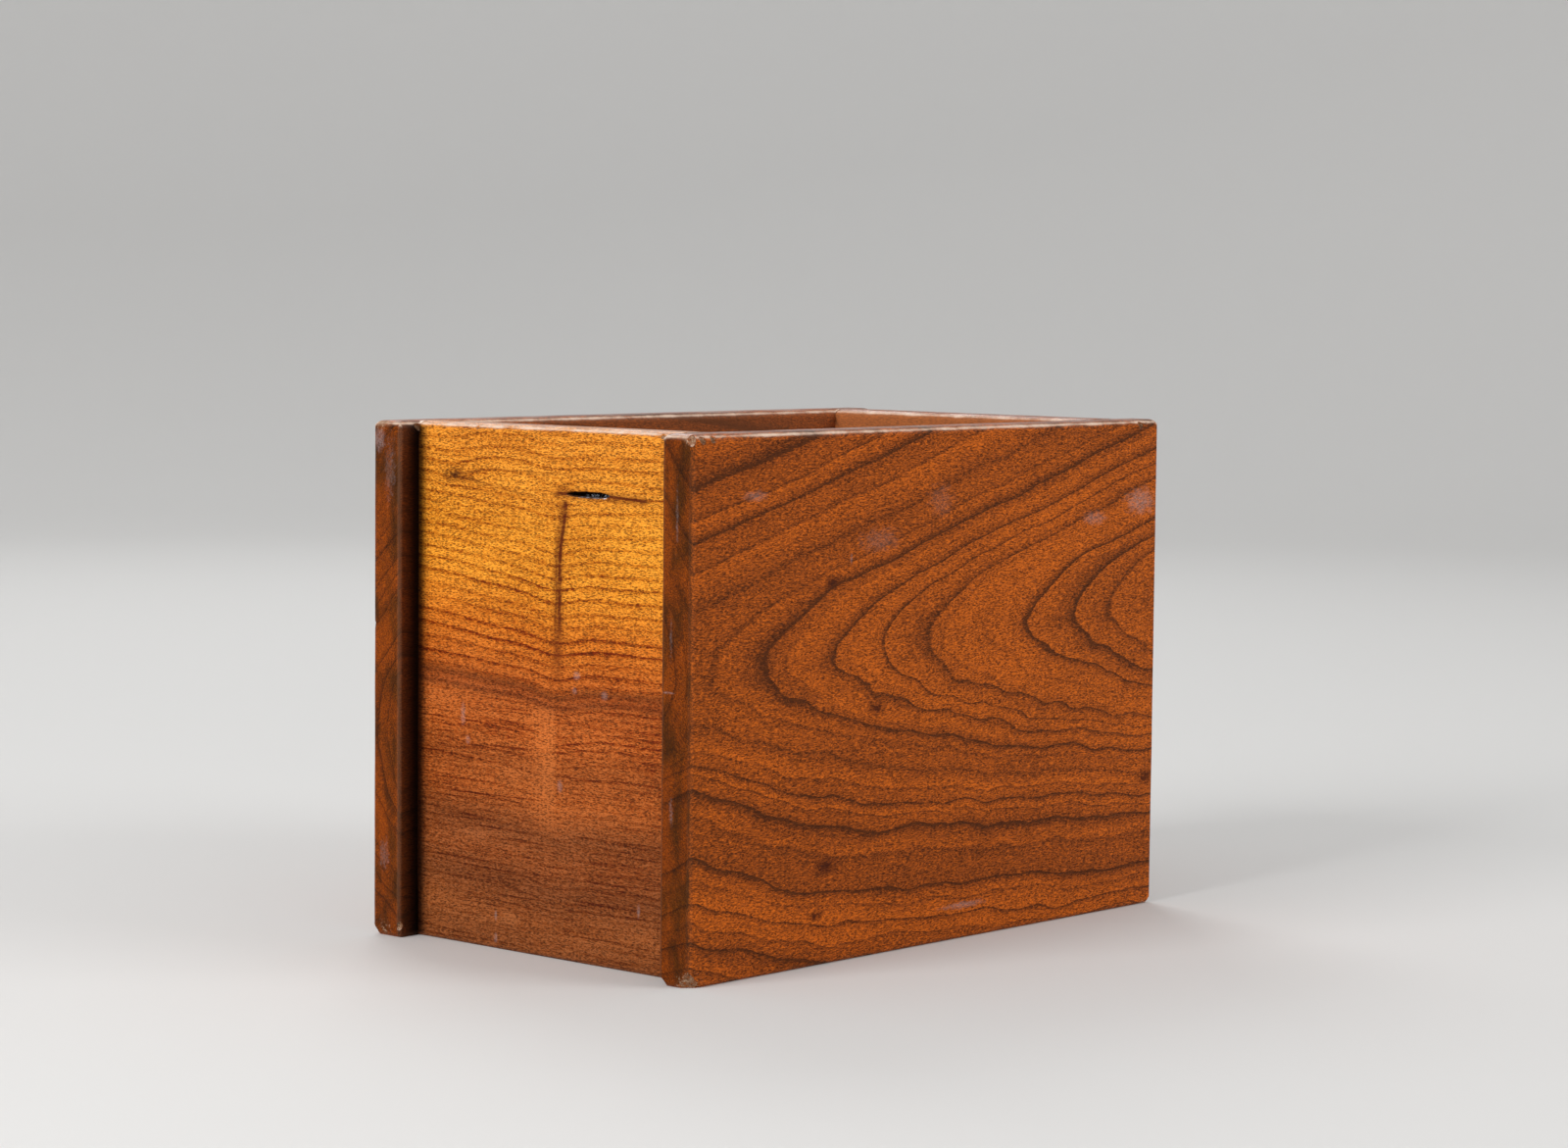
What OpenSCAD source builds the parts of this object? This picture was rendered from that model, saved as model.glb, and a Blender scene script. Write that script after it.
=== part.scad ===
// Open-topped solid walnut box.
// Two long side boards run past two end boards, which stand back between them in stopped housings.
// A bottom board lies in a groove round the inside of all four.
// Origin: middle of the footprint, on the surface that the box stands on.
// X runs along the side boards, Y across the box, Z up.

/* [Box] */
// Length of the side boards, which is the length over all
box_l = 264; // [190:1:400]
// Width over the two side boards
box_w = 161; // [110:1:260]
// Height of all four boards
box_h = 190; // [110:1:300]

/* [Boards] */
// Thickness of the side boards
side_t = 14.3; // [11:0.1:20]
// Thickness of the end boards
end_t = 14.3; // [11:0.1:20]
// Thickness of the bottom board
bottom_t = 9.5; // [6:0.1:13]
// How far the end boards stand back from the ends of the side boards
end_setback = 9.5; // [6:0.5:25]
// Height of the bottom board's underside above the lower edges
bottom_lift = 6; // [4:0.5:20]

/* [Joints] */
// Depth of the housings in the side boards
housing_depth = 6.3; // [4:0.1:8]
// How far below the top edges the housings stop
housing_stop = 19; // [8:0.5:40]
// Depth of the groove that holds the bottom board
groove_depth = 5; // [3:0.1:6]
// Clearance on each cheek of an end board in its housing
cheek_fit = 0.1; // [0.05:0.05:0.3]
// Glue space past the tongues of an end board
tongue_gap = 0.3; // [0.1:0.05:0.8]
// Clearance above the bottom board in its groove
groove_fit = 0.2; // [0.1:0.05:0.5]
// Room for the bottom board to swell, at each of its edges
swell_gap = 0.8; // [0.3:0.1:1.5]

/* [Edges] */
// Radius on the top edges
rim_r = 3.2; // [1:0.1:4.5]
// Radius on the upright edges
arris_r = 1.2; // [0.5:0.1:2.5]
// Radius on the lower edges
foot_r = 1.5; // [0.5:0.1:3]

/* [Hidden] */
$fn = 64;

// Reach of a cutter past the timber that it cuts
margin = 2;

// The clear space between the boards
inner_l = box_l - 2 * end_setback - 2 * end_t;
inner_w = box_w - 2 * side_t;

// Distance of an end board's middle from the middle of the box
end_x = inner_l / 2 + end_t / 2;

walnut_side = "#8a4f28";
walnut_front = "#b8702c";
walnut_rear = "#8c5230";
walnut_bottom = "#7a4a2c";

// What a rounding takes off a square corner at the origin, with the timber at +X +Y
module corner_waste(r) {
    difference() {
        translate([-margin, -margin]) square(r + margin);
        translate([r, r]) circle(r);
    }
}

// Upright section of the whole box, w wide, with its rounded top and lower corners
module outer_section(w) {
    difference() {
        translate([-w / 2, 0]) square([w, box_h]);
        for (flip = [0, 1]) mirror([flip, 0]) {
            translate([-w / 2, 0]) corner_waste(foot_r);
            translate([-w / 2, box_h]) mirror([0, 1]) corner_waste(rim_r);
        }
    }
}

// Plan of the whole box, with its rounded corners
module outer_plan() {
    difference() {
        square([box_l, box_w], center = true);
        for (flip_x = [0, 1]) for (flip_y = [0, 1])
            mirror([flip_x, 0]) mirror([0, flip_y])
                translate([-box_l / 2, -box_w / 2]) corner_waste(arris_r);
    }
}

// The outside of the whole box, to which every board is trimmed
module envelope() {
    intersection() {
        translate([0, box_w, 0]) rotate([90, 0, 0]) linear_extrude(2 * box_w) outer_section(box_l);
        translate([-box_l, 0, 0]) rotate([90, 0, 90]) linear_extrude(2 * box_l) outer_section(box_w);
        linear_extrude(box_h) outer_plan();
    }
}

// Section of a gap between two upright faces at its top, flared by the rounding of both top edges
module mouth(gap) {
    difference() {
        translate([-gap / 2 - rim_r, -rim_r]) square([gap + 2 * rim_r, rim_r + margin]);
        for (side = [-1, 1]) translate([side * (gap / 2 + rim_r), -rim_r]) circle(rim_r);
    }
}

// Rounds the top edges round a gap, with mitred inside corners; its top face lies at Z = 0
module rim_cutter(gap_x, gap_y) {
    intersection() {
        translate([0, box_w, 0]) rotate([90, 0, 0]) linear_extrude(2 * box_w) mouth(gap_x);
        translate([-box_l, 0, 0]) rotate([90, 0, 90]) linear_extrude(2 * box_l) mouth(gap_y);
    }
}

// Rounds the top edges of the space inside and of the two recesses outside the end boards
module rim_cuts() {
    translate([0, 0, box_h]) rim_cutter(inner_l, inner_w);
    for (side = [-1, 1])
        translate([side * box_l / 2, 0, box_h]) rim_cutter(2 * end_setback, inner_w);
}

// The space that holds the bottom board, run_y across
module bottom_groove(run_y) {
    run_x = inner_l + 2 * groove_depth;
    translate([-run_x / 2, -run_y / 2, bottom_lift]) cube([run_x, run_y, bottom_t + groove_fit]);
}

// Housing for the end board at x in the side board at -Y, open at the bottom
module housing(x) {
    width = end_t + 2 * cheek_fit;
    depth = housing_depth + margin;
    height = box_h - housing_stop + margin;
    translate([x - width / 2, -inner_w / 2 - housing_depth, -margin]) cube([width, depth, height]);
}

// The side board at -Y
module side_board() {
    difference() {
        intersection() {
            translate([-box_l / 2, -box_w / 2, 0]) cube([box_l, side_t, box_h]);
            envelope();
        }
        rim_cuts();
        for (side = [-1, 1]) {
            housing(side * end_x);
            // Inner upright edge, where the board runs past the end board
            translate([side * box_l / 2, -inner_w / 2, -margin])
                mirror([side > 0 ? 1 : 0, 0, 0]) mirror([0, 1, 0])
                    linear_extrude(box_h + 2 * margin) corner_waste(arris_r);
        }
        bottom_groove(inner_w + 2 * groove_depth);
    }
}

// The end board at -X: full width between the side boards, with tongues below the housings' stops
module end_board() {
    tongue_w = inner_w + 2 * (housing_depth - tongue_gap);
    tongue_h = box_h - housing_stop - tongue_gap;
    outer_x = -end_x - end_t / 2;
    difference() {
        union() {
            translate([outer_x, -inner_w / 2, 0]) cube([end_t, inner_w, box_h]);
            translate([outer_x, -tongue_w / 2, 0]) cube([end_t, tongue_w, tongue_h]);
        }
        rim_cuts();
        bottom_groove(box_w);
        // Lower edge on the outside
        translate([outer_x, box_w / 2, 0])
            rotate([90, 0, 0]) linear_extrude(box_w) corner_waste(foot_r);
    }
}

module near_side_board() {
    color(walnut_side) side_board();
}

module far_side_board() {
    color(walnut_side) mirror([0, 1, 0]) side_board();
}

module front_end_board() {
    color(walnut_front) end_board();
}

module rear_end_board() {
    color(walnut_rear) mirror([1, 0, 0]) end_board();
}

module bottom_board() {
    length = inner_l + 2 * (groove_depth - swell_gap);
    width = inner_w + 2 * (groove_depth - swell_gap);
    color(walnut_bottom)
        translate([-length / 2, -width / 2, bottom_lift]) cube([length, width, bottom_t]);
}

near_side_board();
far_side_board();
front_end_board();
rear_end_board();
bottom_board();
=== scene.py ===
"""Looks of an open-topped walnut box: five worn, oiled boards in a plain pale studio.

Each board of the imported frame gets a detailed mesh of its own, cut from a merged copy of the board, with
softened edges, chips and a knot split, and a procedural walnut whose growth rings run through the timber.
"""

import logging
import math
from dataclasses import dataclass, field, replace
from enum import Enum
from typing import ClassVar, Optional, Sequence, Union

import bmesh
import bpy
from mathutils import Matrix, Vector, noise


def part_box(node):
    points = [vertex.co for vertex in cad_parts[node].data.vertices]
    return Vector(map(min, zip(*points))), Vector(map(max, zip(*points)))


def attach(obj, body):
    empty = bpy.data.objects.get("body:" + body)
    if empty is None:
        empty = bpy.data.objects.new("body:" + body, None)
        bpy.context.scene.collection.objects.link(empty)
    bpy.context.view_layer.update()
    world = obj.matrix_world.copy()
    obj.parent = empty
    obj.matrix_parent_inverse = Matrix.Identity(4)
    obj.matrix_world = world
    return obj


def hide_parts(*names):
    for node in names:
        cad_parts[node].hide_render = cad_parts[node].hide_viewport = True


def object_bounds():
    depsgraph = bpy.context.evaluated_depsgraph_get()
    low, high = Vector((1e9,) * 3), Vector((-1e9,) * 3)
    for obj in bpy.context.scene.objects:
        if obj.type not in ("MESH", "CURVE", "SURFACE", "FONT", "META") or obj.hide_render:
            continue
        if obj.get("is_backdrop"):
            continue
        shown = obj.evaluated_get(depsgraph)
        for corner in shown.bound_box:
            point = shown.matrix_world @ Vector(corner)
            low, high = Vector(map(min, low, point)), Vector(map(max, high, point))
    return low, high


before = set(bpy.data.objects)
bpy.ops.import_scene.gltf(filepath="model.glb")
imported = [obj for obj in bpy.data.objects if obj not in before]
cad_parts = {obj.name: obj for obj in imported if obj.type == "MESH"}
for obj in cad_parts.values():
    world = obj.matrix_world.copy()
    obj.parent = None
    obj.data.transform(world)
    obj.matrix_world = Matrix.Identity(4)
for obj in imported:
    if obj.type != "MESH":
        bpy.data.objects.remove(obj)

LOG = logging.getLogger("walnut_box")
MM = 0.001
MERGE_REACH = 0.001 * MM
CUT_REACH = 0.002 * MM
FLAT_ANGLE = math.radians(0.5)
SHARP_ANGLE = math.radians(38)
MASKS = ("bare", "cleft")
SWEEP_STEPS = 12
FLOOR_STEPS = 96

Triple = tuple[float, float, float]
Colour = tuple[float, float, float, float]
Plain = Union[float, Triple, Colour]
WHITE: Colour = (1.0, 1.0, 1.0, 1.0)
ORIGIN: Triple = (0.0, 0.0, 0.0)


def put(name: str, data: bpy.types.ID) -> bpy.types.Object:
    """Makes an object of a mesh, lamp or camera and puts it in the scene.

    Args:
        name: The object's name.
        data: Its data.

    Returns:
        The object.
    """
    made = bpy.data.objects.new(name, data)
    bpy.context.scene.collection.objects.link(made)
    return made


def srgb(red: int, green: int, blue: int) -> Colour:
    """Turns a screen colour of 0 to 255 a channel into the linear colour that shaders use.

    Args:
        red: Red channel.
        green: Green channel.
        blue: Blue channel.

    Returns:
        The linear colour, with an alpha of 1.
    """

    def linear(channel: int) -> float:
        """Linear value of one channel."""
        share = channel / 255
        return share / 12.92 if share <= 0.04045 else ((share + 0.055) / 1.055) ** 2.4

    return (linear(red), linear(green), linear(blue), 1.0)


# ---------------------------------------------------------------------------------------------
# Shader nodes
# ---------------------------------------------------------------------------------------------


class Field:
    """A value that varies over a surface: a socket that takes part in arithmetic."""

    def __init__(self, graph: "Graph", socket: bpy.types.NodeSocket) -> None:
        """Keeps the graph and the socket."""
        self.graph = graph
        self.socket = socket

    def __add__(self, other: "Operand") -> "Field":
        """Sum."""
        return self.graph.math("ADD", self, other)

    def __sub__(self, other: "Operand") -> "Field":
        """Difference."""
        return self.graph.math("SUBTRACT", self, other)

    def __rsub__(self, other: float) -> "Field":
        """Difference from a plain number."""
        return self.graph.math("SUBTRACT", other, self)

    def __mul__(self, other: "Operand") -> "Field":
        """Product."""
        return self.graph.math("MULTIPLY", self, other)

    def __truediv__(self, other: "Operand") -> "Field":
        """Quotient."""
        return self.graph.math("DIVIDE", self, other)

    def __or__(self, other: "Operand") -> "Field":
        """The greater one."""
        return self.graph.math("MAXIMUM", self, other)

    def __and__(self, other: "Operand") -> "Field":
        """The lesser one."""
        return self.graph.math("MINIMUM", self, other)

    def __abs__(self) -> "Field":
        """Size without its sign."""
        return self.graph.math("ABSOLUTE", self)


Operand = Union[Field, float]
Feed = Union[Field, float, Triple, Colour]
Key = Union[int, str]


class Graph:
    """Adds nodes to one node tree. Its methods take plain values and fields alike."""

    def __init__(self, tree: bpy.types.NodeTree) -> None:
        """Keeps the tree."""
        self.tree = tree

    def feed(self, socket: bpy.types.NodeSocket, value: Feed) -> None:
        """Links a field to a socket, or writes a plain value on it.

        Args:
            socket: The input socket.
            value: What it gets.
        """
        if isinstance(value, Field):
            self.tree.links.new(value.socket, socket)
        else:
            socket.default_value = value

    def node(self, kind: str, feeds: dict[Key, Feed], **settings: object) -> bpy.types.Node:
        """Adds a node and feeds its inputs.

        Args:
            kind: The node's type name after "ShaderNode".
            feeds: What its inputs get, by name or index.
            settings: Its properties.

        Returns:
            The node.
        """
        made = self.tree.nodes.new("ShaderNode" + kind)
        for name, value in settings.items():
            setattr(made, name, value)
        for key, value in feeds.items():
            self.feed(made.inputs[key], value)
        return made

    def value(self, kind: str, feeds: dict[Key, Feed], output: Key = 0, **settings: object) -> Field:
        """Adds a node and takes one of its outputs.

        Args:
            kind: The node's type name after "ShaderNode".
            feeds: What its inputs get, by name or index.
            output: Name or index of the output.
            settings: Its properties.

        Returns:
            The output.
        """
        return Field(self, self.node(kind, feeds, **settings).outputs[output])

    def math(self, operation: str, *operands: Operand) -> Field:
        """Adds a Math node with its one to three inputs."""
        return self.value("Math", dict(enumerate(operands)), operation=operation)

    def vector(self, operation: str, *operands: Feed, output: Key = "Vector") -> Field:
        """Adds a Vector Math node with its inputs."""
        return self.value("VectorMath", dict(enumerate(operands)), output, operation=operation)

    def combine(self, *parts: Operand) -> Field:
        """Makes a vector of three numbers."""
        return self.value("CombineXYZ", dict(enumerate(parts)))

    def split(self, value: Field) -> tuple[Field, Field, Field]:
        """Takes a vector apart into its three numbers."""
        return tuple(Field(self, socket) for socket in self.node("SeparateXYZ", {0: value}).outputs)

    def step(self, value: Operand, low: Operand, high: Operand) -> Field:
        """Rises smoothly from 0 to 1 between two limits.

        Args:
            value: What is tested.
            low: Where the rise starts.
            high: Where it ends.

        Returns:
            The share, from 0 to 1.
        """
        feeds = {"Value": value, "From Min": low, "From Max": high}
        return self.value("MapRange", feeds, interpolation_type="SMOOTHSTEP", clamp=True)

    def drop(self, value: Operand, low: Operand, high: Operand) -> Field:
        """Falls smoothly from 1 to 0 between two limits."""
        return 1.0 - self.step(value, low, high)

    def span(self, value: Operand, start: float, full: float, fade: float, end: float) -> Field:
        """Is 1 on a stretch, and falls smoothly to 0 past its ends.

        Args:
            value: What is tested.
            start: Where the rise starts.
            full: Where it has reached 1.
            fade: Where the fall starts.
            end: Where it has reached 0.

        Returns:
            The share, from 0 to 1.
        """
        return self.step(value, start, full) * self.drop(value, fade, end)

    def bell(self, value: Field, sharpness: float = 1.0) -> Field:
        """Bell curve: 1 at 0, and 1/e at a distance of 1 where the sharpness is 1."""
        return self.math("EXPONENT", value * value * -sharpness)

    def hinge(self, value: Field, soft: Operand) -> Field:
        """Stays near 0 below 0 and follows the value above it, with a soft bend between.

        Args:
            value: What is bent.
            soft: Length of the bend.

        Returns:
            The bent value.
        """
        root = self.math("SQRT", value * value + self.math("MULTIPLY", soft, soft))
        return (value + root) * 0.5

    def blend(self, share: Operand, low: Operand, high: Operand) -> Field:
        """Goes from one number to another as the share goes from 0 to 1."""
        return self.value("Mix", {0: share, 2: low, 3: high}, data_type="FLOAT", clamp_factor=True)

    def paint(self, share: Operand, under: Feed, over: Feed, mode: str = "MIX") -> Field:
        """Lays one colour over another.

        Args:
            share: How much of the upper colour shows.
            under: Colour below.
            over: Colour above.
            mode: Blend mode.

        Returns:
            The mixed colour.
        """
        feeds = {0: share, 6: under, 7: over}
        return self.value("Mix", feeds, 2, data_type="RGBA", blend_type=mode, clamp_factor=True)

    def noise(self, place: Field, scale: Triple, detail: float = 2.0, rough: float = 0.5) -> Field:
        """Adds fractal noise that is stretched along the axes.

        Args:
            place: Position in millimetres.
            scale: Waves in a millimetre along each axis.
            detail: Octaves.
            rough: Strength of each octave after the first.

        Returns:
            Noise from about -1 to 1.
        """
        stretched = self.vector("MULTIPLY", place, scale)
        feeds = {"Vector": stretched, "Scale": 1.0, "Detail": detail, "Roughness": rough}
        return (self.value("TexNoise", feeds, noise_dimensions="3D") - 0.5) * 2.0

    def ramp(self, value: Field, stops: Sequence[tuple[float, Colour]]) -> bpy.types.Node:
        """Adds a colour ramp.

        Args:
            value: Where on the ramp, from 0 to 1.
            stops: Places and colours, in order.

        Returns:
            The node, whose outputs are the colour and its alpha.
        """
        made = self.node("ValToRGB", {0: value})
        elements = made.color_ramp.elements
        while len(elements) > 1:
            elements.remove(elements[-1])
        elements[0].position, elements[0].color = stops[0]
        for place, colour in stops[1:]:
            elements.new(place).color = colour
        return made


class Effect:
    """A shader node group, built once, that each material places with its own values."""

    NAME: ClassVar[str] = ""
    INPUTS: ClassVar[dict[str, Plain]] = {}
    OUTPUTS: ClassVar[dict[str, Plain]] = {}

    def build(self, graph: Graph, inputs: dict[str, Field]) -> dict[str, Field]:
        """Adds the group's inner nodes and returns its outputs by name."""
        raise NotImplementedError

    @staticmethod
    def kind(default: Plain) -> str:
        """Socket type that holds a default value: a number, a vector or a colour."""
        if isinstance(default, float):
            return "NodeSocketFloat"
        return "NodeSocketVector" if len(default) == 3 else "NodeSocketColor"

    def tree(self) -> bpy.types.NodeTree:
        """Finds the group's node tree, and makes it the first time.

        Returns:
            The node tree.
        """
        made = bpy.data.node_groups.get(self.NAME)
        if made is not None:
            return made
        made = bpy.data.node_groups.new(self.NAME, "ShaderNodeTree")
        for name, default in self.INPUTS.items():
            socket = made.interface.new_socket(name=name, in_out="INPUT", socket_type=self.kind(default))
            socket.default_value = default
        for name, default in self.OUTPUTS.items():
            made.interface.new_socket(name=name, in_out="OUTPUT", socket_type=self.kind(default))
        graph = Graph(made)
        entry = made.nodes.new("NodeGroupInput")
        leave = made.nodes.new("NodeGroupOutput")
        inputs = {name: Field(graph, entry.outputs[name]) for name in self.INPUTS}
        for name, value in self.build(graph, inputs).items():
            graph.feed(leave.inputs[name], value)
        return made

    @classmethod
    def settings(cls, owner: object) -> dict[str, Feed]:
        """Values of an object's fields that have the names of the group's inputs."""
        return {name: getattr(owner, name) for name in cls.INPUTS if hasattr(owner, name)}

    def place(self, graph: Graph, **values: Feed) -> dict[str, Field]:
        """Puts the group into a material.

        Args:
            graph: The material's graph.
            values: What the group's inputs get.

        Returns:
            The group's outputs by name.
        """
        made = graph.tree.nodes.new("ShaderNodeGroup")
        made.node_tree = self.tree()
        for name, value in values.items():
            graph.feed(made.inputs[name], value)
        return {name: Field(graph, made.outputs[name]) for name in self.OUTPUTS}


class CathedralRings(Effect):
    """Growth rings of a flat-sawn board: nested arches that point along the board."""

    NAME = "cathedral_rings"
    INPUTS = {
        "position": ORIGIN,
        "apex_height": 113.0,
        "tilt": 0.026,
        "bluntness": 11.0,
        "slope_up": 1.93,
        "slope_down": 2.47,
        "shoulder": 20.0,
        "flank_up": 2.17,
        "flank_down": 0.5,
        "curl_down": 0.06,
        "droop": 0.27,
        "droop_from": -82.0,
        "lean": 5.0,
        "wander": 4.0,
    }
    OUTPUTS = {"place": 0.0}

    def build(self, graph: Graph, inputs: dict[str, Field]) -> dict[str, Field]:
        """Works out, at each point, where its ring crosses the line of the apexes.

        Args:
            graph: The group's graph.
            inputs: The group's inputs, in millimetres.

        Returns:
            The place along the board of the ring's apex, in millimetres.
        """
        along, depth, height = graph.split(inputs["position"])
        wide = graph.noise(inputs["position"], (0.02, 0.02, 0.035), detail=1.0)
        fine = graph.noise(inputs["position"], (0.045, 0.05, 0.09), detail=1.5)
        level = height - inputs["apex_height"] - inputs["tilt"] * along
        droop = graph.hinge(inputs["droop_from"] - along, 25.0) * inputs["droop"]
        level = level - droop * graph.drop(level, -45.0, -5.0)
        off = level + (wide * 0.5 + fine * 0.4) * inputs["wander"]
        blunt = inputs["bluntness"]
        core = graph.math("SQRT", off * off + blunt * blunt) - blunt
        slope = graph.blend(graph.step(off, -6.0, 6.0), inputs["slope_down"], inputs["slope_up"])
        above = graph.hinge(off - inputs["shoulder"], 4.0)
        below = graph.hinge(0.0 - off - inputs["shoulder"], 4.0)
        skirt = below * inputs["flank_down"] + below * below * inputs["curl_down"]
        place = along - core * slope - above * inputs["flank_up"] - skirt - depth * inputs["lean"]
        return {"place": place + fine * inputs["wander"]}


class RingTone(Effect):
    """Darkness of the wood from its ring count: a slow rise to a thin late-wood line, then a sharp fall."""

    NAME = "ring_tone"
    INPUTS = {
        "position": ORIGIN,
        "count": 0.0,
        "strength": 1.0,
        "evenness": 0.5,
        "spread": 0.5,
        "edge": 0.08,
        "fine_rings": 5.0,
    }
    OUTPUTS = {"darkness": 0.0}

    def build(self, graph: Graph, inputs: dict[str, Field]) -> dict[str, Field]:
        """Shapes each ring.

        Args:
            graph: The group's graph.
            inputs: The group's inputs.

        Returns:
            Darkness from 0 to about 1.
        """
        jitter = graph.noise(inputs["position"], (0.35, 1.4, 1.4), detail=2.0, rough=0.7)
        count = inputs["count"] + jitter * inputs["edge"] * 0.6
        share = graph.math("FRACT", count)
        ring = graph.math("FLOOR", count)
        chance = graph.value("TexWhiteNoise", {"W": ring}, "Value", noise_dimensions="1D")
        luck = graph.blend(inputs["evenness"], chance, 1.0)
        softness = graph.math("FRACT", chance * 7.0) * 1.6 + 0.4
        fall = graph.step(1.0 - share, 0.0, inputs["edge"] * softness)
        rise = graph.math("POWER", share, graph.blend(inputs["spread"], 7.0, 0.9))
        line = graph.step(share, 1.0 - inputs["edge"] * 2.6, 1.0 - inputs["edge"]) * fall
        gaps = graph.noise(inputs["position"], (0.2, 1.1, 1.1), detail=2.0, rough=0.7)
        line = line * graph.step(gaps, -0.55, 0.35)
        minor = graph.math("FRACT", count * inputs["fine_rings"])
        minor = minor * minor * graph.step(1.0 - minor, 0.0, 0.2) * graph.step(share, 0.1, 0.6)
        strength = luck * inputs["strength"]
        return {"darkness": (rise * fall * 0.86 + line * 0.36) * strength + minor * 0.14}


class WalnutTone(Effect):
    """Colour of walnut from its darkness, with a fine grit of fibres, streaks and slow drifts of tone."""

    NAME = "walnut_tone"
    INPUTS = {
        "position": ORIGIN,
        "darkness": 0.5,
        "light": (0.4, 0.1, 0.02, 1.0),
        "middle": (0.3, 0.08, 0.01, 1.0),
        "dark": (0.1, 0.03, 0.01, 1.0),
        "streaks": 0.2,
        "grit": 0.3,
        "drift": 0.15,
        "skew": 0.0,
    }
    OUTPUTS = {"colour": (0.0, 0.0, 0.0, 1.0), "grit": 0.0}

    def build(self, graph: Graph, inputs: dict[str, Field]) -> dict[str, Field]:
        """Mixes the three tones.

        Args:
            graph: The group's graph.
            inputs: The group's inputs.

        Returns:
            The colour, and the grit as a height.
        """
        place = inputs["position"]
        sway = graph.noise(place, (0.045, 0.07, 0.07), detail=2.0) * 7.0
        slide = sway - graph.split(place)[0] * inputs["skew"]
        swept = graph.vector("ADD", place, graph.combine(0.0, slide, slide))
        streak = graph.noise(place, (0.02, 0.8, 0.8), detail=4.0, rough=0.75)
        grit = graph.noise(swept, (0.4, 2.1, 2.1), detail=2.0, rough=0.7)
        slow = graph.noise(place, (0.012, 0.03, 0.03), detail=2.0)
        level = inputs["darkness"] + streak * inputs["streaks"] + slow * inputs["drift"]
        level = level + grit * inputs["grit"]
        upper = graph.paint(graph.step(level, -0.45, 0.45), inputs["light"], inputs["middle"])
        colour = graph.paint(graph.step(level, 0.2, 1.1), upper, inputs["dark"])
        return {"colour": colour, "grit": grit}


class Pores(Effect):
    """Open pores of walnut: short dark dashes along the grain, and dots where the grain ends."""

    NAME = "pores"
    INPUTS = {"position": ORIGIN, "length": 2.4, "width": 0.34, "crowding": 0.5}
    OUTPUTS = {"mask": 0.0}

    def build(self, graph: Graph, inputs: dict[str, Field]) -> dict[str, Field]:
        """Scatters stretched cells and keeps a share of them.

        Args:
            graph: The group's graph.
            inputs: The group's inputs, in millimetres.

        Returns:
            The mask of the pores.
        """
        along, depth, height = graph.split(inputs["position"])
        sway = graph.noise(inputs["position"], (0.15, 0.2, 0.2), detail=1.0) * 0.8
        across = [(part + sway) / inputs["width"] for part in (depth, height)]
        feeds = {"Vector": graph.combine(along / inputs["length"], *across), "Scale": 1.0}
        voronoi = graph.node("TexVoronoi", feeds, voronoi_dimensions="3D", feature="F1")
        distance = Field(graph, voronoi.outputs["Distance"])
        chance = graph.split(Field(graph, voronoi.outputs["Color"]))[0]
        kept = graph.step(inputs["crowding"] - chance, -0.02, 0.02)
        return {"mask": graph.drop(distance, 0.28, 0.52) * kept}


class PinKnot(Effect):
    """A small knot: a dark heart, and the rings round it pushed aside."""

    NAME = "pin_knot"
    INPUTS = {"position": ORIGIN, "centre": ORIGIN, "radius": 3.0, "push": 8.0}
    OUTPUTS = {"heart": 0.0, "shift": 0.0}

    def build(self, graph: Graph, inputs: dict[str, Field]) -> dict[str, Field]:
        """Measures the distance to the knot's axis, which runs through the board.

        Args:
            graph: The group's graph.
            inputs: The group's inputs, in millimetres.

        Returns:
            The heart's mask, and the shift of the rings in millimetres.
        """
        wobble = graph.noise(inputs["position"], (0.4, 0.6, 0.8), detail=3.0, rough=0.7) * 0.9
        away = graph.vector("SUBTRACT", inputs["position"], inputs["centre"])
        flat = graph.vector("MULTIPLY", away, (0.5, 0.0, 1.0))
        reach = graph.vector("LENGTH", flat, output="Value") / inputs["radius"]
        core = graph.drop(reach + wobble, 0.25, 0.85)
        shell = graph.drop(abs(reach + wobble * 0.6 - 0.8), 0.05, 0.35)
        return {"heart": core | shell * 0.4, "shift": graph.bell(reach, 0.16) * inputs["push"]}


class SurfaceMark(Effect):
    """A smear, scuff or fleck that lies on the outer face."""

    NAME = "surface_mark"
    INPUTS = {
        "position": ORIGIN,
        "centre": ORIGIN,
        "size": (3.0, 2.0, 3.0),
        "ragged": 0.5,
    }
    OUTPUTS = {"mask": 0.0}

    def build(self, graph: Graph, inputs: dict[str, Field]) -> dict[str, Field]:
        """Draws a ragged oval.

        Args:
            graph: The group's graph.
            inputs: The group's inputs, in millimetres.

        Returns:
            The mark's mask.
        """
        rough = graph.noise(inputs["position"], (0.3, 0.5, 0.6), detail=5.0, rough=0.75)
        away = graph.vector("SUBTRACT", inputs["position"], inputs["centre"])
        reach = graph.vector("LENGTH", graph.vector("DIVIDE", away, inputs["size"]), output="Value")
        return {"mask": graph.drop(reach + rough * inputs["ragged"] * 1.6, 0.35, 1.1)}


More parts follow.
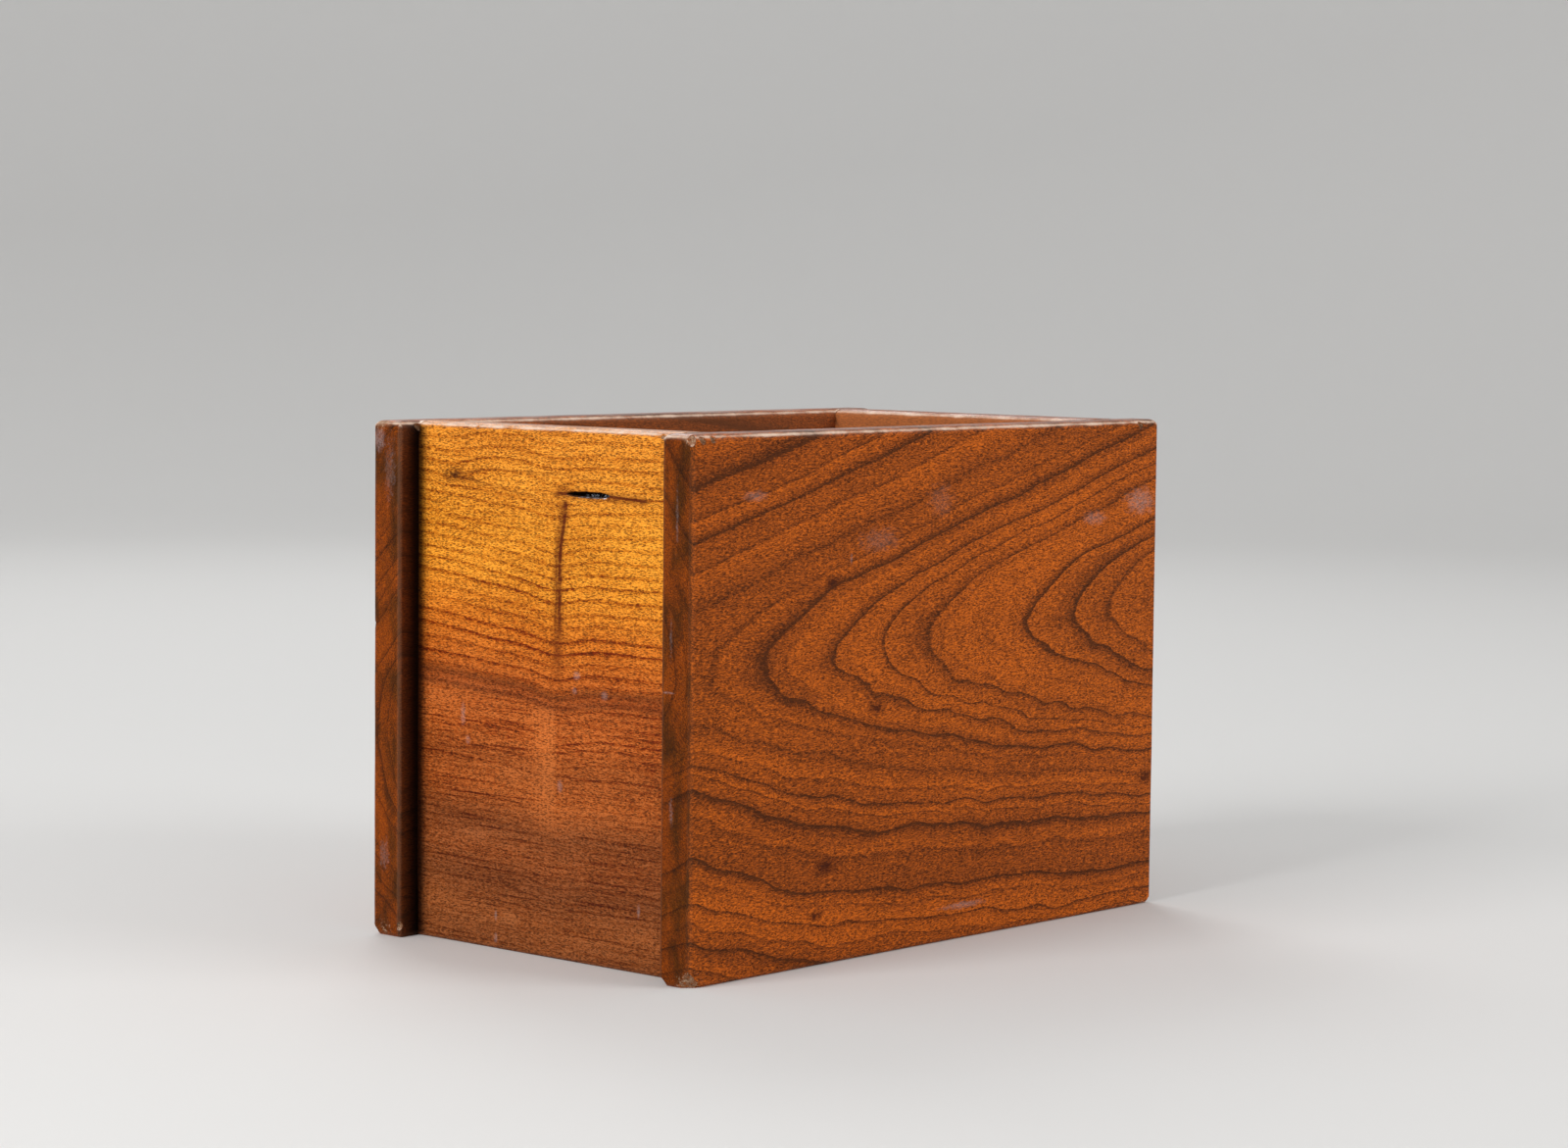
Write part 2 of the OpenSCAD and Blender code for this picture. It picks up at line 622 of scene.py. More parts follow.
class EdgeWearAndHighlight(Effect):
    """Where hands and tables wear a board: a ragged band along its exposed edges, with a narrower band at the
    very edge for a painted highlight.
    """

    NAME = "edge_wear_and_highlight"
    INPUTS = {"position": ORIGIN, "centre": ORIGIN, "half": (1.0, 1.0, 1.0), "reach": 2.0}
    OUTPUTS = {"mask": 0.0, "rim": 0.0}

    def build(self, graph: Graph, inputs: dict[str, Field]) -> dict[str, Field]:
        """Takes the middle one of the distances to the board's three pairs of faces.

        Args:
            graph: The group's graph.
            inputs: The group's inputs, in millimetres.

        Returns:
            The mask of the worn edges, and the mask of the band nearest the very edge, which carries the
            painted highlight.
        """
        away = graph.vector("ABSOLUTE", graph.vector("SUBTRACT", inputs["position"], inputs["centre"]))
        x, y, z = graph.split(graph.vector("SUBTRACT", inputs["half"], away))
        middle = (x & y) | ((x | y) & z)
        rough = graph.noise(inputs["position"], (0.12, 0.12, 0.12), detail=4.0, rough=0.65)
        far = middle / inputs["reach"] + rough * 0.45
        return {"mask": graph.drop(far, 0.35, 1.0), "rim": graph.drop(far, 0.3, 0.85)}


class Dust(Effect):
    """Pale dust that settles on what faces up."""

    NAME = "dust"
    INPUTS = {"position": ORIGIN, "upward": 0.0, "amount": 0.2}
    OUTPUTS = {"mask": 0.0}

    def build(self, graph: Graph, inputs: dict[str, Field]) -> dict[str, Field]:
        """Scatters specks over the upward faces.

        Args:
            graph: The group's graph.
            inputs: The group's inputs.

        Returns:
            The dust's mask.
        """
        cloud = graph.noise(inputs["position"], (0.06, 0.06, 0.06), detail=4.0, rough=0.7)
        specks = graph.noise(inputs["position"], (1.6, 1.6, 1.6), detail=1.0)
        level = cloud * 0.5 + 0.5 + graph.step(specks, 0.35, 0.6) * 0.6
        return {"mask": level * graph.step(inputs["upward"], 0.5, 0.95) * inputs["amount"]}


# ---------------------------------------------------------------------------------------------
# Finishes
# ---------------------------------------------------------------------------------------------


@dataclass(frozen=True)
class Site:
    """A point of a board's surface: where it is, and which way it faces.

    The spot is its position in the box, and the place its position in the board, whose parts are along,
    depth and height. All are in millimetres. Upward is 1 where the surface looks straight up and -1
    where it looks down. The last three are masks: faces that look up, end grain, and the inner side.
    """

    graph: Graph
    spot: Field
    place: Field
    parts: tuple[Field, Field, Field]
    upward: Field
    facing_up: Field
    ends: Field
    within: Field


@dataclass
class Layers:
    """What the layers of a finish add up to: colour, roughness and height."""

    colour: Field
    rough: Field
    height: Field

    def cover(self, share: Operand, colour: Feed) -> None:
        """Lays a share of a colour over what is there."""
        self.colour = self.colour.graph.paint(share, self.colour, colour)


@dataclass(frozen=True)
class Ring:
    """One growth ring: where its late wood crosses the line of the apexes, and how dark and wide it is.

    The tone is the darkness of all the wood round the ring.
    """

    place: float
    strength: float
    spread: float = 0.5
    tone: float = 0.0


@dataclass(frozen=True)
class Knot:
    """A pin knot: its place along and up the board, its radius and its push on the rings, in millimetres."""

    along: float
    height: float
    radius: float
    push: float = 8.0


@dataclass(frozen=True)
class Mark:
    """A mark on a board: its middle and half sizes in millimetres, its strength and its raggedness."""

    along: float
    height: float
    half_along: float
    half_up: float
    strength: float = 0.5
    ragged: float = 0.6
    depth: float = 0.0
    half_depth: float = 2.0

    def mask(self, site: Site) -> Field:
        """Draws the mark.

        Args:
            site: Point of the surface.

        Returns:
            The mark's mask.
        """
        part = SurfaceMark().place(
            site.graph,
            position=site.place,
            centre=(self.along, self.depth, self.height),
            size=(self.half_along, self.half_depth, self.half_up),
            ragged=self.ragged,
        )
        return part["mask"] * self.strength


@dataclass(frozen=True)
class Split:
    """The open knot split of the front end board, in millimetres: its middle along and up the board."""

    along: float = 21.0
    height: float = 166.6
    half_length: float = 10.5
    half_height: float = 1.2
    depth: float = 6.0


@dataclass(frozen=True)
class BoardAxes:
    """How a board lies in the box: its three directions, and the point of its outer face where they start."""

    origin: Vector
    along: Vector
    inward: Vector
    upward: Vector

    def site(self, graph: Graph, thickness: float) -> Site:
        """Finds where each point of the board is, and which way it faces.

        Args:
            graph: The material's graph.
            thickness: Thickness of the board, in millimetres.

        Returns:
            The place and the masks of the faces.
        """
        spot = graph.vector("MULTIPLY", graph.value("TexCoord", {}, "Object"), (1 / MM,) * 3)
        away = graph.vector("SUBTRACT", spot, tuple(self.origin / MM))
        axes = (self.along, self.inward, self.upward)
        parts = tuple(graph.vector("DOT_PRODUCT", away, tuple(axis), output="Value") for axis in axes)
        normal = graph.value("NewGeometry", {}, "Normal")
        upward = graph.split(normal)[2]
        endwise = abs(graph.vector("DOT_PRODUCT", normal, tuple(self.along), output="Value"))
        return Site(
            graph=graph,
            spot=spot,
            place=graph.combine(*parts),
            parts=parts,
            upward=upward,
            facing_up=graph.step(upward, 0.15, 0.8),
            ends=graph.step(endwise, 0.45, 0.9),
            within=graph.step(parts[1], thickness - 1.6, thickness - 0.4),
        )


@dataclass(frozen=True)
class Figure:
    """What a finish's ring pattern gives the rest of the material."""

    darkness: Field
    hearts: Field
    tint_and_light: Optional[Field] = None
    stain: Optional[Field] = None
    painted_glint: Optional[Field] = None


@dataclass(frozen=True)
class WalnutFinish:
    """Oiled walnut with a satin face, worn edges, pores, knots and marks."""

    name: str
    light: Colour
    middle: Colour
    dark: Colour
    pore: Colour = srgb(58, 27, 12)
    heart: Colour = srgb(56, 20, 8)
    end_grain: Colour = srgb(190, 180, 108)
    end_shade: Colour = srgb(112, 124, 86)
    inside: Colour = srgb(146, 92, 62)
    worn: Colour = srgb(226, 178, 146)
    # Colour of the painted highlight along the rims of the upward faces.
    rim_highlight: Colour = srgb(252, 228, 206)
    bare: Colour = srgb(226, 194, 164)
    crushed: Colour = srgb(138, 98, 70)
    # Near black for the inside of the split.
    split_dark: Colour = srgb(26, 14, 8)
    smear: Colour = srgb(168, 148, 146)
    stain: Colour = srgb(88, 32, 8)
    # Colour of painted shade: near black on the overhangs' inner faces past the joint, and of the painted
    # shadow near the front board's ends.
    painted_shade: Colour = srgb(14, 3, 1)
    # Colour of the painted specks of reflected light in the split.
    painted_glint: Colour = srgb(236, 242, 255)
    dust: Colour = srgb(190, 176, 160)
    dust_amount: float = 0.16
    specular: float = 0.06
    coat_roughness: float = 0.3
    bump_strength: float = 0.8
    bump_depth: float = 0.12 * MM
    inside_share: float = 0.45
    # Where the painted shade on the overhangs' inner faces starts along the board, in millimetres, and how
    # much of it shows.
    shade_from: float = 121.5
    shade_share: float = 0.99
    # Where the painted shadow down the upright faces near the ends starts and where it is full, in
    # millimetres along the board.
    corner_shadow_from: float = 1000.0
    corner_shadow_to: float = 1010.0
    arris_share: float = 0.03
    rim_polish: float = 1.0
    streaks: float = 0.3
    grit: float = 1.5
    skew: float = 0.0
    drift: float = 0.25
    pore_length: float = 2.0
    pore_width: float = 0.42
    pore_crowding: float = 0.8
    pore_share: float = 0.75
    roughness: float = 0.48
    wear_reach: float = 2.0
    wear_share: float = 0.75
    knots: tuple[Knot, ...] = ()
    marks: tuple[Mark, ...] = ()

    def figure(self, site: Site) -> Figure:
        """Lays out the growth rings of this finish."""
        raise NotImplementedError

    def knot_fields(self, site: Site) -> tuple[Field, Field]:
        """Sums the knots.

        Args:
            site: Point of the surface.

        Returns:
            The mask of all the hearts, and the shift of the rings in millimetres.
        """
        hearts = shift = site.graph.math("ADD", 0.0, 0.0)
        for knot in self.knots:
            parts = PinKnot().place(
                site.graph,
                position=site.place,
                centre=(knot.along, 0.0, knot.height),
                radius=knot.radius,
                push=knot.push,
            )
            hearts = hearts | parts["heart"]
            shift = shift + parts["shift"]
        return hearts, shift

    def mark_field(self, site: Site) -> Field:
        """Joins the marks on the outer face.

        Args:
            site: Point of the surface.

        Returns:
            The mask of all the marks.
        """
        total = site.graph.math("ADD", 0.0, 0.0)
        for mark in self.marks:
            total = total | mark.mask(site)
        speckle = site.graph.noise(site.place, (0.6, 0.9, 1.2), detail=4.0, rough=0.8)
        return total * site.graph.step(speckle, -0.4, 0.4)

    def wood(self, site: Site, figure: Figure) -> Layers:
        """Colours the timber: its rings, end grain, pores, knots and stains.

        Args:
            site: Point of the surface.
            figure: The rings of the board.

        Returns:
            The first layers.
        """
        graph, place, ends = site.graph, site.place, site.ends
        tones = WalnutTone.settings(self)
        # The colour by height holds painted light on the front board: lighter towards the top.
        if figure.tint_and_light is not None:
            for name in ("light", "middle", "dark"):
                tones[name] = graph.paint(1.0, figure.tint_and_light, tones[name], "MULTIPLY")
        darkness = figure.darkness * (1.0 - ends * 0.35)
        tone = WalnutTone().place(graph, position=place, darkness=darkness, **tones)
        grit = tone["grit"]
        pores = []
        for shift, length, width in ((ORIGIN, 1.0, 1.0), ((31.0, 17.0, 23.0), 0.5, 0.6)):
            part = Pores().place(
                graph,
                position=graph.vector("ADD", place, shift),
                length=self.pore_length * length,
                width=self.pore_width * width,
                crowding=self.pore_crowding,
            )
            pores.append(part["mask"])
        pitted = pores[0] | pores[1] * 0.6
        rough = pitted * 0.2 + grit * 0.04 + self.roughness
        layers = Layers(tone["colour"], rough, grit * 0.16 - pitted * 0.85 - figure.darkness * 0.15)
        blotch = graph.noise(place, (0.12, 0.12, 0.045), detail=3.0, rough=0.6)
        end_tone = graph.paint(graph.step(blotch, -0.3, 0.35), self.end_grain, self.end_shade)
        layers.cover(ends, graph.paint(1.0, end_tone, layers.colour, "MULTIPLY"))
        layers.cover(pitted * self.pore_share, self.pore)
        layers.cover(figure.hearts * 0.85, self.heart)
        if figure.stain is not None:
            layers.cover(figure.stain, self.stain)
        return layers

    def soil_and_shade(self, site: Site, layers: Layers) -> None:
        """Dulls the inside, paints shade onto the inner faces of the overhangs past the joint and a shadow
        down the upright faces near the ends, and adds the marks on the face.

        Args:
            site: Point of the surface.
            layers: Layers that are added to.
        """
        graph, within = site.graph, site.within
        layers.cover(within * self.inside_share, self.inside)
        reach = abs(site.parts[0])
        # Painted shade: darkens the inner face past the joint, strongest by the joint and easing towards the
        # end.
        recess_shade = graph.step(reach, self.shade_from, self.shade_from + 1.5)
        recess_shade = recess_shade * (1.0 - graph.step(reach, self.shade_from + 2.0, self.shade_from + 12.5) * 0.45)
        layers.cover(within * recess_shade * self.shade_share, self.painted_shade)
        upright = graph.drop(abs(site.upward), 0.15, 0.8)
        # Painted shadow: darkens the upright faces near both ends, where the side boards' overhangs shade
        # them.
        layers.cover(graph.step(reach, self.corner_shadow_from, self.corner_shadow_to) * upright * 0.9, self.painted_shade)
        marks = self.mark_field(site)
        layers.cover(marks, self.smear)
        layers.rough = layers.rough + marks * 0.2 + within * 0.12

    def rub_and_highlight(self, site: Site, layers: Layers, centre: Vector, half: Vector) -> None:
        """Wears the edges pale, paints a highlight along the very rim of the upward faces and lets dust
        settle.

        Args:
            site: Point of the surface.
            layers: Layers that are added to.
            centre: Middle of the board, in metres.
            half: Half size of the board for its wear, in metres.
        """
        graph, spot, facing_up = site.graph, site.spot, site.facing_up
        wear = EdgeWearAndHighlight().place(
            graph,
            position=spot,
            centre=tuple(centre / MM),
            half=tuple(half / MM),
            reach=self.wear_reach,
        )
        patchy = graph.step(graph.noise(spot, (0.1, 0.1, 0.1), detail=4.0, rough=0.7), -0.7, 0.2)
        rubbed = wear["mask"] * graph.blend(facing_up, self.arris_share, 1.0)
        layers.cover(rubbed * graph.blend(patchy, 0.45, 1.0) * self.wear_share, self.worn)
        # Painted highlight: a pale band along the very edge of the upward faces, where light from behind
        # catches the rim.
        layers.cover(wear["rim"] * facing_up * patchy, self.rim_highlight)
        dust = Dust().place(graph, position=spot, upward=site.upward, amount=self.dust_amount)
        layers.cover(dust["mask"], self.dust)
        layers.rough = layers.rough + rubbed * 0.12

    def tear_and_glint(self, site: Site, layers: Layers, figure: Figure) -> Field:
        """Shows bare fibres where wood was knocked off, paints the inside of the split near black, and paints
        specks of reflected light in it.

        Args:
            site: Point of the surface.
            layers: Layers that are added to.
            figure: The rings of the board.

        Returns:
            The mask of the bare wood.
        """
        graph = site.graph
        bare, cleft = (graph.value("Attribute", {}, "Fac", attribute_name=name) for name in MASKS)
        crumb = graph.noise(site.spot, (0.9, 0.9, 0.9), detail=4.0, rough=0.8)
        exposed = graph.step(bare + crumb * 0.9, 0.45, 0.85) * graph.step(bare, 0.05, 0.2)
        layers.cover(exposed, graph.paint(graph.step(crumb, -0.1, 0.6), self.crushed, self.bare))
        # Paints the inside of the split near black.
        layers.cover(cleft, self.split_dark)
        # Painted highlights: pale specks of reflected light inside the split.
        if figure.painted_glint is not None:
            layers.cover(figure.painted_glint, self.painted_glint)
        layers.rough = layers.rough + exposed * 0.35 + cleft * 0.3
        layers.height = layers.height - exposed * crumb * 0.8
        return exposed

    def material(self, axes: BoardAxes, low: Vector, high: Vector, wear_half: Vector) -> bpy.types.Material:
        """Builds the material for one board.

        Args:
            axes: How the board lies.
            low: Lowest corner of the board, in metres.
            high: Highest corner, in metres.
            wear_half: Half size for the edge wear, in metres: large where the edges aren't exposed.

        Returns:
            The material.
        """
        made = bpy.data.materials.new(self.name)
        made.use_nodes = True
        made.node_tree.nodes.clear()
        graph = Graph(made.node_tree)
        site = axes.site(graph, abs((high - low).dot(axes.inward)) / MM)
        figure = self.figure(site)
        layers = self.wood(site, figure)
        self.soil_and_shade(site, layers)
        self.rub_and_highlight(site, layers, (low + high) / 2, wear_half)
        exposed = self.tear_and_glint(site, layers, figure)
        sheen = graph.step(graph.noise(site.spot, (0.04, 0.04, 0.3), detail=3.0, rough=0.6), -0.35, 0.3)
        bump = {"Strength": self.bump_strength, "Distance": self.bump_depth, "Height": layers.height}
        surface = {
            "Base Color": layers.colour,
            "Roughness": layers.rough & 0.95,
            "Specular IOR Level": self.specular,
            "Coat Weight": site.facing_up * (1.0 - exposed) * graph.blend(sheen, 0.3, 1.0) * self.rim_polish,
            "Coat Roughness": self.coat_roughness,
            "Normal": graph.value("Bump", bump, "Normal"),
        }
        graph.node("OutputMaterial", {"Surface": graph.value("BsdfPrincipled", surface)})
        return made


@dataclass(frozen=True)
class FlatSawnWalnut(WalnutFinish):
    """Walnut with a cathedral figure, for the side boards."""

    rings: tuple[Ring, ...] = ()
    apex_height: float = 113.0
    tilt: float = 0.045
    bluntness: float = 9.0
    slope_up: float = 1.93
    slope_down: float = 2.47
    shoulder: float = 20.0
    flank_up: float = 2.17
    flank_down: float = 0.5
    curl_down: float = 0.06
    droop: float = 0.3
    droop_from: float = -78.0
    lean: float = -5.0
    wander: float = 6.5
    outer_pitch: float = 110.0
    clearing: float = 0.05

    def figure(self, site: Site) -> Figure:
        """Counts the rings: one by one between the listed lines, and evenly outside them.

        Args:
            site: Point of the surface.

        Returns:
            The darkness and the hearts of the knots.
        """
        graph, place = site.graph, site.place
        hearts, shift = self.knot_fields(site)
        arch = CathedralRings().place(graph, position=place, **CathedralRings.settings(self))["place"]
        arch = arch + shift
        first = self.rings[0].place
        span = self.rings[-1].place - first
        most = len(self.rings) - 1
        stops = [
            ((ring.place - first) / span, (index / most, ring.strength, ring.spread, ring.tone))
            for index, ring in enumerate(self.rings)
        ]
        listed = graph.ramp((arch - first) / span, stops)
        count, strength, spread = graph.split(Field(graph, listed.outputs["Color"]))
        outside = (first - arch) | 0.0
        tone = RingTone().place(
            graph,
            position=place,
            count=count * float(most) - outside / self.outer_pitch,
            strength=strength,
            evenness=1.0,
            spread=spread,
        )
        base = Field(graph, listed.outputs["Alpha"])
        return Figure(darkness=tone["darkness"] + base - self.clearing, hearts=hearts)


@dataclass(frozen=True)
class StraightWalnut(WalnutFinish):
    """Walnut with nearly straight lines, for the end boards and the bottom board."""

    upper_pitch: float = 4.6
    lower_pitch: float = 2.6
    change_height: float = 98.0
    wander: float = 2.0
    dip: float = 2.5
    dip_at: float = 5.0
    dip_width: float = 12.0
    slant: float = 0.1
    ring_strength: float = 0.95
    busy_height: float = 122.0
    busy_width: float = 26.0
    busy_share: float = 0.0
    calm_share: float = 0.6
    lean: float = 0.5
    full_height: float = 190.0
    # Colours by height: the wood's own tone, with painted light that makes the board lighter towards the top.
    tints_and_light: tuple[tuple[float, Colour], ...] = ()

    def figure(self, site: Site) -> Figure:
        """Stacks the rings up the board, with a dip at one place and a slow change of colour up it: partly
        the wood's tone and partly painted light, lighter towards the top.

        Args:
            site: Point of the surface.

        Returns:
            The darkness, the hearts of the knots, the colour by height with its painted light, and any stain.
        """
        graph, place = site.graph, site.place
        along, depth, height = site.parts
        hearts, shift = self.knot_fields(site)
        near = (along - self.dip_at) / self.dip_width
        valley = graph.bell(near) * self.dip
        change = self.change_height
        rising = graph.blend(graph.step(height, change, change + 35.0), 0.5, 1.0)
        rising = rising * (1.0 - graph.step(height, change + 50.0, change + 84.0) * 0.9)
        slope = graph.hinge(self.dip_at - along, 8.0) * self.slant * rising
        sway = graph.noise(place, (0.018, 0.05, 0.05), detail=2.0) * self.wander
        level = height + valley + sway + shift - slope - depth * self.lean
        level = level - self.detour(site)
        under = graph.hinge(change - level, 5.0)
        extra = 1.0 / self.lower_pitch - 1.0 / self.upper_pitch
        count = (level - change) / self.upper_pitch - under * extra
        calm = graph.drop(height, change - 45.0, change + 8.0)
        busy = graph.bell((level - self.busy_height) / self.busy_width) * self.busy_share
        tone = RingTone().place(
            graph,
            position=place,
            count=count,
            strength=(busy + self.ring_strength) * graph.blend(calm, 1.0, self.calm_share),
            evenness=0.25,
            spread=0.3,
            edge=0.2,
            fine_rings=2.0,
        )
        tint_and_light = None
        if self.tints_and_light:
            tint_and_light = Field(graph, graph.ramp(level / self.full_height, self.tints_and_light).outputs["Color"])
        darkness = self.lighten(site, tone["darkness"])
        return Figure(darkness, hearts, tint_and_light, self.stained(site), self.painted_glints(site))

    def lighten(self, site: Site, darkness: Field) -> Field:
        """Clears or brightens parts of the figure; a plain board stays as it is."""
        return darkness

    def painted_glints(self, site: Site) -> Optional[Field]:
        """Mask of the painted specks of reflected light; none on a plain board."""
        return None

    def detour(self, site: Site) -> Operand:
        """How far the lines give way to something in the board; nothing on a plain board."""
        return 0.0

    def stained(self, site: Site) -> Optional[Field]:
        """Mask of the stained wood; none on a plain board."""
        return None


@dataclass(frozen=True)
class SplitWalnut(StraightWalnut):
    """Straight walnut with a knot split near its top, a seam below it and an eye in the grain beside it."""

    split: Split = Split()
    tail_start: float = 2.0
    tail_end: float = 51.5
    eye_start: float = -50.0
    eye_end: float = 34.0
    eye_height: float = 169.5
    eye_half: float = 4.5
    eye_push: float = 4.4
    seam_along: float = 7.2
    seam_bend: float = 2.8
    seam_foot: float = 97.0
    ridge_along: float = 3.5
    ridge_half: float = 9.0
    ridge_share: float = 0.8
    fibre_share: float = 0.8
    gleams: tuple[Mark, ...] = ()

    def detour(self, site: Site) -> Operand:
        """Opens a long eye in the lines, from the knot to the split.

        Args:
            site: Point of the surface.

        Returns:
            The shift of the lines, in millimetres.
        """
        graph = site.graph
        along, _, height = site.parts
        reach = (height - self.eye_height + (along - self.eye_start) * 0.03) / self.eye_half
        start = graph.step(along, self.eye_start, self.eye_start + 22.0)
        end = graph.drop(along, self.eye_end - 20.0, self.eye_end + 20.0)
        return reach / (reach * reach + 1.0) * start * end * self.eye_push

    def lighten(self, site: Site, darkness: Field) -> Field:
        """Clears the lines out of the eye and brightens the ridge below the seam.

        Args:
            site: Point of the surface.
            darkness: Darkness of the growth rings.

        Returns:
            The new darkness.
        """
        graph = site.graph
        along, _, height = site.parts
        reach = (height - self.eye_height + (along - self.eye_start) * 0.05) / self.eye_half
        start, end = self.eye_start, self.eye_end
        clear = graph.bell(reach, 1.2) * graph.span(along, start + 6.0, start + 24.0, end - 30.0, end)
        aside = along - self.ridge_along
        ridge = graph.bell((aside & 0.0) / self.ridge_half) * graph.span(height, 44.0, 64.0, 84.0, 93.0)
        ridge = ridge * graph.drop(aside, 0.0, 3.0)
        fibres = graph.step(graph.noise(site.place, (0.016, 0.9, 0.9), detail=5.0, rough=0.8), 0.0, 0.3)
        fibres = fibres * graph.drop(height, 78.0, 104.0)
        darkness = darkness * (1.0 - clear * 0.8) + fibres * self.fibre_share - ridge * self.ridge_share
        for gleam in self.gleams:
            darkness = darkness - gleam.mask(site)
        return darkness

    def painted_glints(self, site: Site) -> Optional[Field]:
        """Paints specks of reflected light along the lower lip of the split.

        Args:
            site: Point of the surface.

        Returns:
            The mask of the painted specks of reflected light.
        """
        graph = site.graph
        along, depth, height = site.parts
        speckle = graph.noise(site.place, (0.7, 0.7, 0.9), detail=2.0, rough=0.8)
        lip = graph.span(height - self.split.height + self.split.half_height, -0.05, 0.2, 0.9, 1.3)
        run = graph.span(along - self.split.along, -6.5, -4.0, 8.6, 9.6)
        return lip * run * graph.step(speckle, 0.0, 0.2) * graph.drop(depth, 6.0, 8.0)

    def stained(self, site: Site) -> Optional[Field]:
        """Darkens the tails of the split, the seam below it and the lines round the eye.

        Args:
            site: Point of the surface.

        Returns:
            The mask of the stained wood.
        """
        rough = site.graph.noise(site.place, (0.35, 0.35, 0.35), detail=4.0, rough=0.7)
        lines = self.tails(site, rough) | self.seam(site, rough) | self.eye(site, rough)
        return lines * site.graph.drop(site.parts[1], 1.0, 7.0)

    def tails(self, site: Site, rough: Field) -> Field:
        """Runs dark tails out of both ends of the split.

        Args:
            site: Point of the surface.
            rough: Noise that makes the edges ragged.

        Returns:
            The mask of the tails.
        """
        graph = site.graph
        along, _, height = site.parts
        sag = graph.hinge(along - self.split.along - 10.0, 4.0) * 0.06
        off = abs(height - self.split.height + sag + rough * 0.5)
        dark = graph.drop(off, 0.3, 1.0) * 0.95 | graph.drop(off, 0.4, 3.2) * 0.5
        start, end = self.tail_start, self.tail_end
        return dark * graph.span(along, start, start + 5.0, end - 3.0, end)

    def seam(self, site: Site, rough: Field) -> Field:
        """Draws the seam below the split: a dark line that doubles half way down, in a soft glow.

        Args:
            site: Point of the surface.
            rough: Noise that makes the edges ragged.

        Returns:
            The mask of the seam.
        """
        graph = site.graph
        along, _, height = site.parts
        bend = graph.step(height, 142.0, self.split.height - 3.0) * self.seam_bend
        aside = along - self.seam_along - bend - rough * 0.7
        strong = graph.step(height, 103.0, 125.0)
        faint = graph.step(height, self.seam_foot - 4.0, self.seam_foot + 14.0)
        apart = graph.noise(graph.combine(0.0, 0.0, height), (1.0, 1.0, 0.07), detail=1.0) * 1.6 + 1.7
        second = graph.drop(abs(aside + apart), 0.2, 0.9) * graph.drop(height, 140.0, 150.0)
        line = graph.drop(abs(aside), 0.55, 1.4) | second * 0.85
        line = line * strong * graph.step(rough, -0.75, 0.1) * 0.97
        glow = graph.drop(abs(aside + 0.8), 0.4, 4.2) * faint * 0.6
        return (line | glow) * graph.drop(height, self.split.height - 3.5, self.split.height - 1.5)

    def eye(self, site: Site, rough: Field) -> Field:
        """Draws the two fine lines that close the eye.

        Args:
            site: Point of the surface.
            rough: Noise that makes the edges ragged.

        Returns:
            The mask of the lines.
        """
        graph = site.graph
        along, _, height = site.parts
        upper = graph.step(along, -47.0, -25.0) * 2.6 - (along + 25.0) * 0.02 + 171.3
        lower = 170.2 - graph.hinge(along + 42.0, 3.0) * 0.16
        near = abs(height - upper) & abs(height - lower)
        lines = graph.drop(near + rough * 0.3, 0.15, 0.85) * graph.span(along, -47.0, -43.0, 0.0, 30.0)
        lines = lines * graph.blend(graph.step(along, -42.0, -20.0), 1.0, 0.5)
        return lines * graph.step(rough, -0.5, 0.3) * 0.85


SIDE_FINISH = FlatSawnWalnut(
    name="side_walnut",
    light=srgb(218, 108, 26),
    middle=srgb(156, 75, 21),
    dark=srgb(88, 44, 14),
    skew=0.12,
    rings=(
        Ring(-980, 0.6, 0.8, 0.2),
        Ring(-850, 0.8, 0.2, 0.5),
        Ring(-770, 0.5, 0.5, 0.05),
        Ring(-690, 0.9, 0.6, 0.0),
        Ring(-610, 0.5, 0.1, 0.1),
        Ring(-545, 0.9, 0.6, 0.5),
        Ring(-400, 0.6, 0.3, 0.15),
        Ring(-325, 1.0, 0.6, 0.5),
        Ring(-282, 0.6, 0.3, 0.0),
        Ring(-252, 1.0, 0.6, 0.4),
        Ring(-212, 0.7, 0.3, 0.0),
        Ring(-160, 0.5, 0.2, 0.35),
        Ring(-120, 0.6, 0.2, 0.15),
        Ring(-94, 1.0, 0.8, 0.5),
        Ring(-84, 0.35, 0.0, 0.05),
        Ring(-54, 1.0, 0.7, 0.2),
        Ring(-48, 0.2, 0.2, 0.0),
        Ring(-33, 0.85, 0.2, 0.1),
        Ring(-5, 1.0, 0.6, 0.2),
        Ring(1, 0.2, 0.2, 0.0),
        Ring(29, 0.35, 0.0, 0.0),
        Ring(53, 1.0, 0.6, 0.15),
        Ring(81, 0.95, 0.7, 0.2),
        Ring(102, 0.8, 0.3, 0.1),
        Ring(140, 0.6, 0.5, 0.3),
    ),
    knots=(
        Knot(-35, 89.5, 2.6),
        Knot(-62, 35, 3.4, 10.0),
        Knot(-59.5, 136, 2.2),
        Knot(127, 50, 3.0),
        Knot(-67, 18, 2.0, 5.0),
    ),
    marks=(
        Mark(-100, 168, 7, 2.2, 0.42, 0.8),
        Mark(92, 153, 8, 3.2, 0.46, 0.8),
        Mark(121, 158.5, 11, 6, 0.62, 0.9),
        Mark(-34, 150, 12, 5, 0.22, 0.9),
        Mark(0, 163, 8, 7, 0.16, 0.9),
        Mark(16, 12.5, 14, 1.5, 0.6, 1.0),
        Mark(-49.5, 144, 0.7, 2.2, 0.6, 0.3),
        Mark(-132, 162, 2, 12, 0.3, 1.0, 7.0, 0.7),
        Mark(-132, 120, 2, 7, 0.25, 1.0, 9.5, 0.6),
        Mark(-132, 60, 2, 5, 0.3, 1.0, 9.0, 1.0),
        Mark(-132, 101.4, 2, 0.5, 0.6, 0.3, 10.6, 3.2),
    ),
)

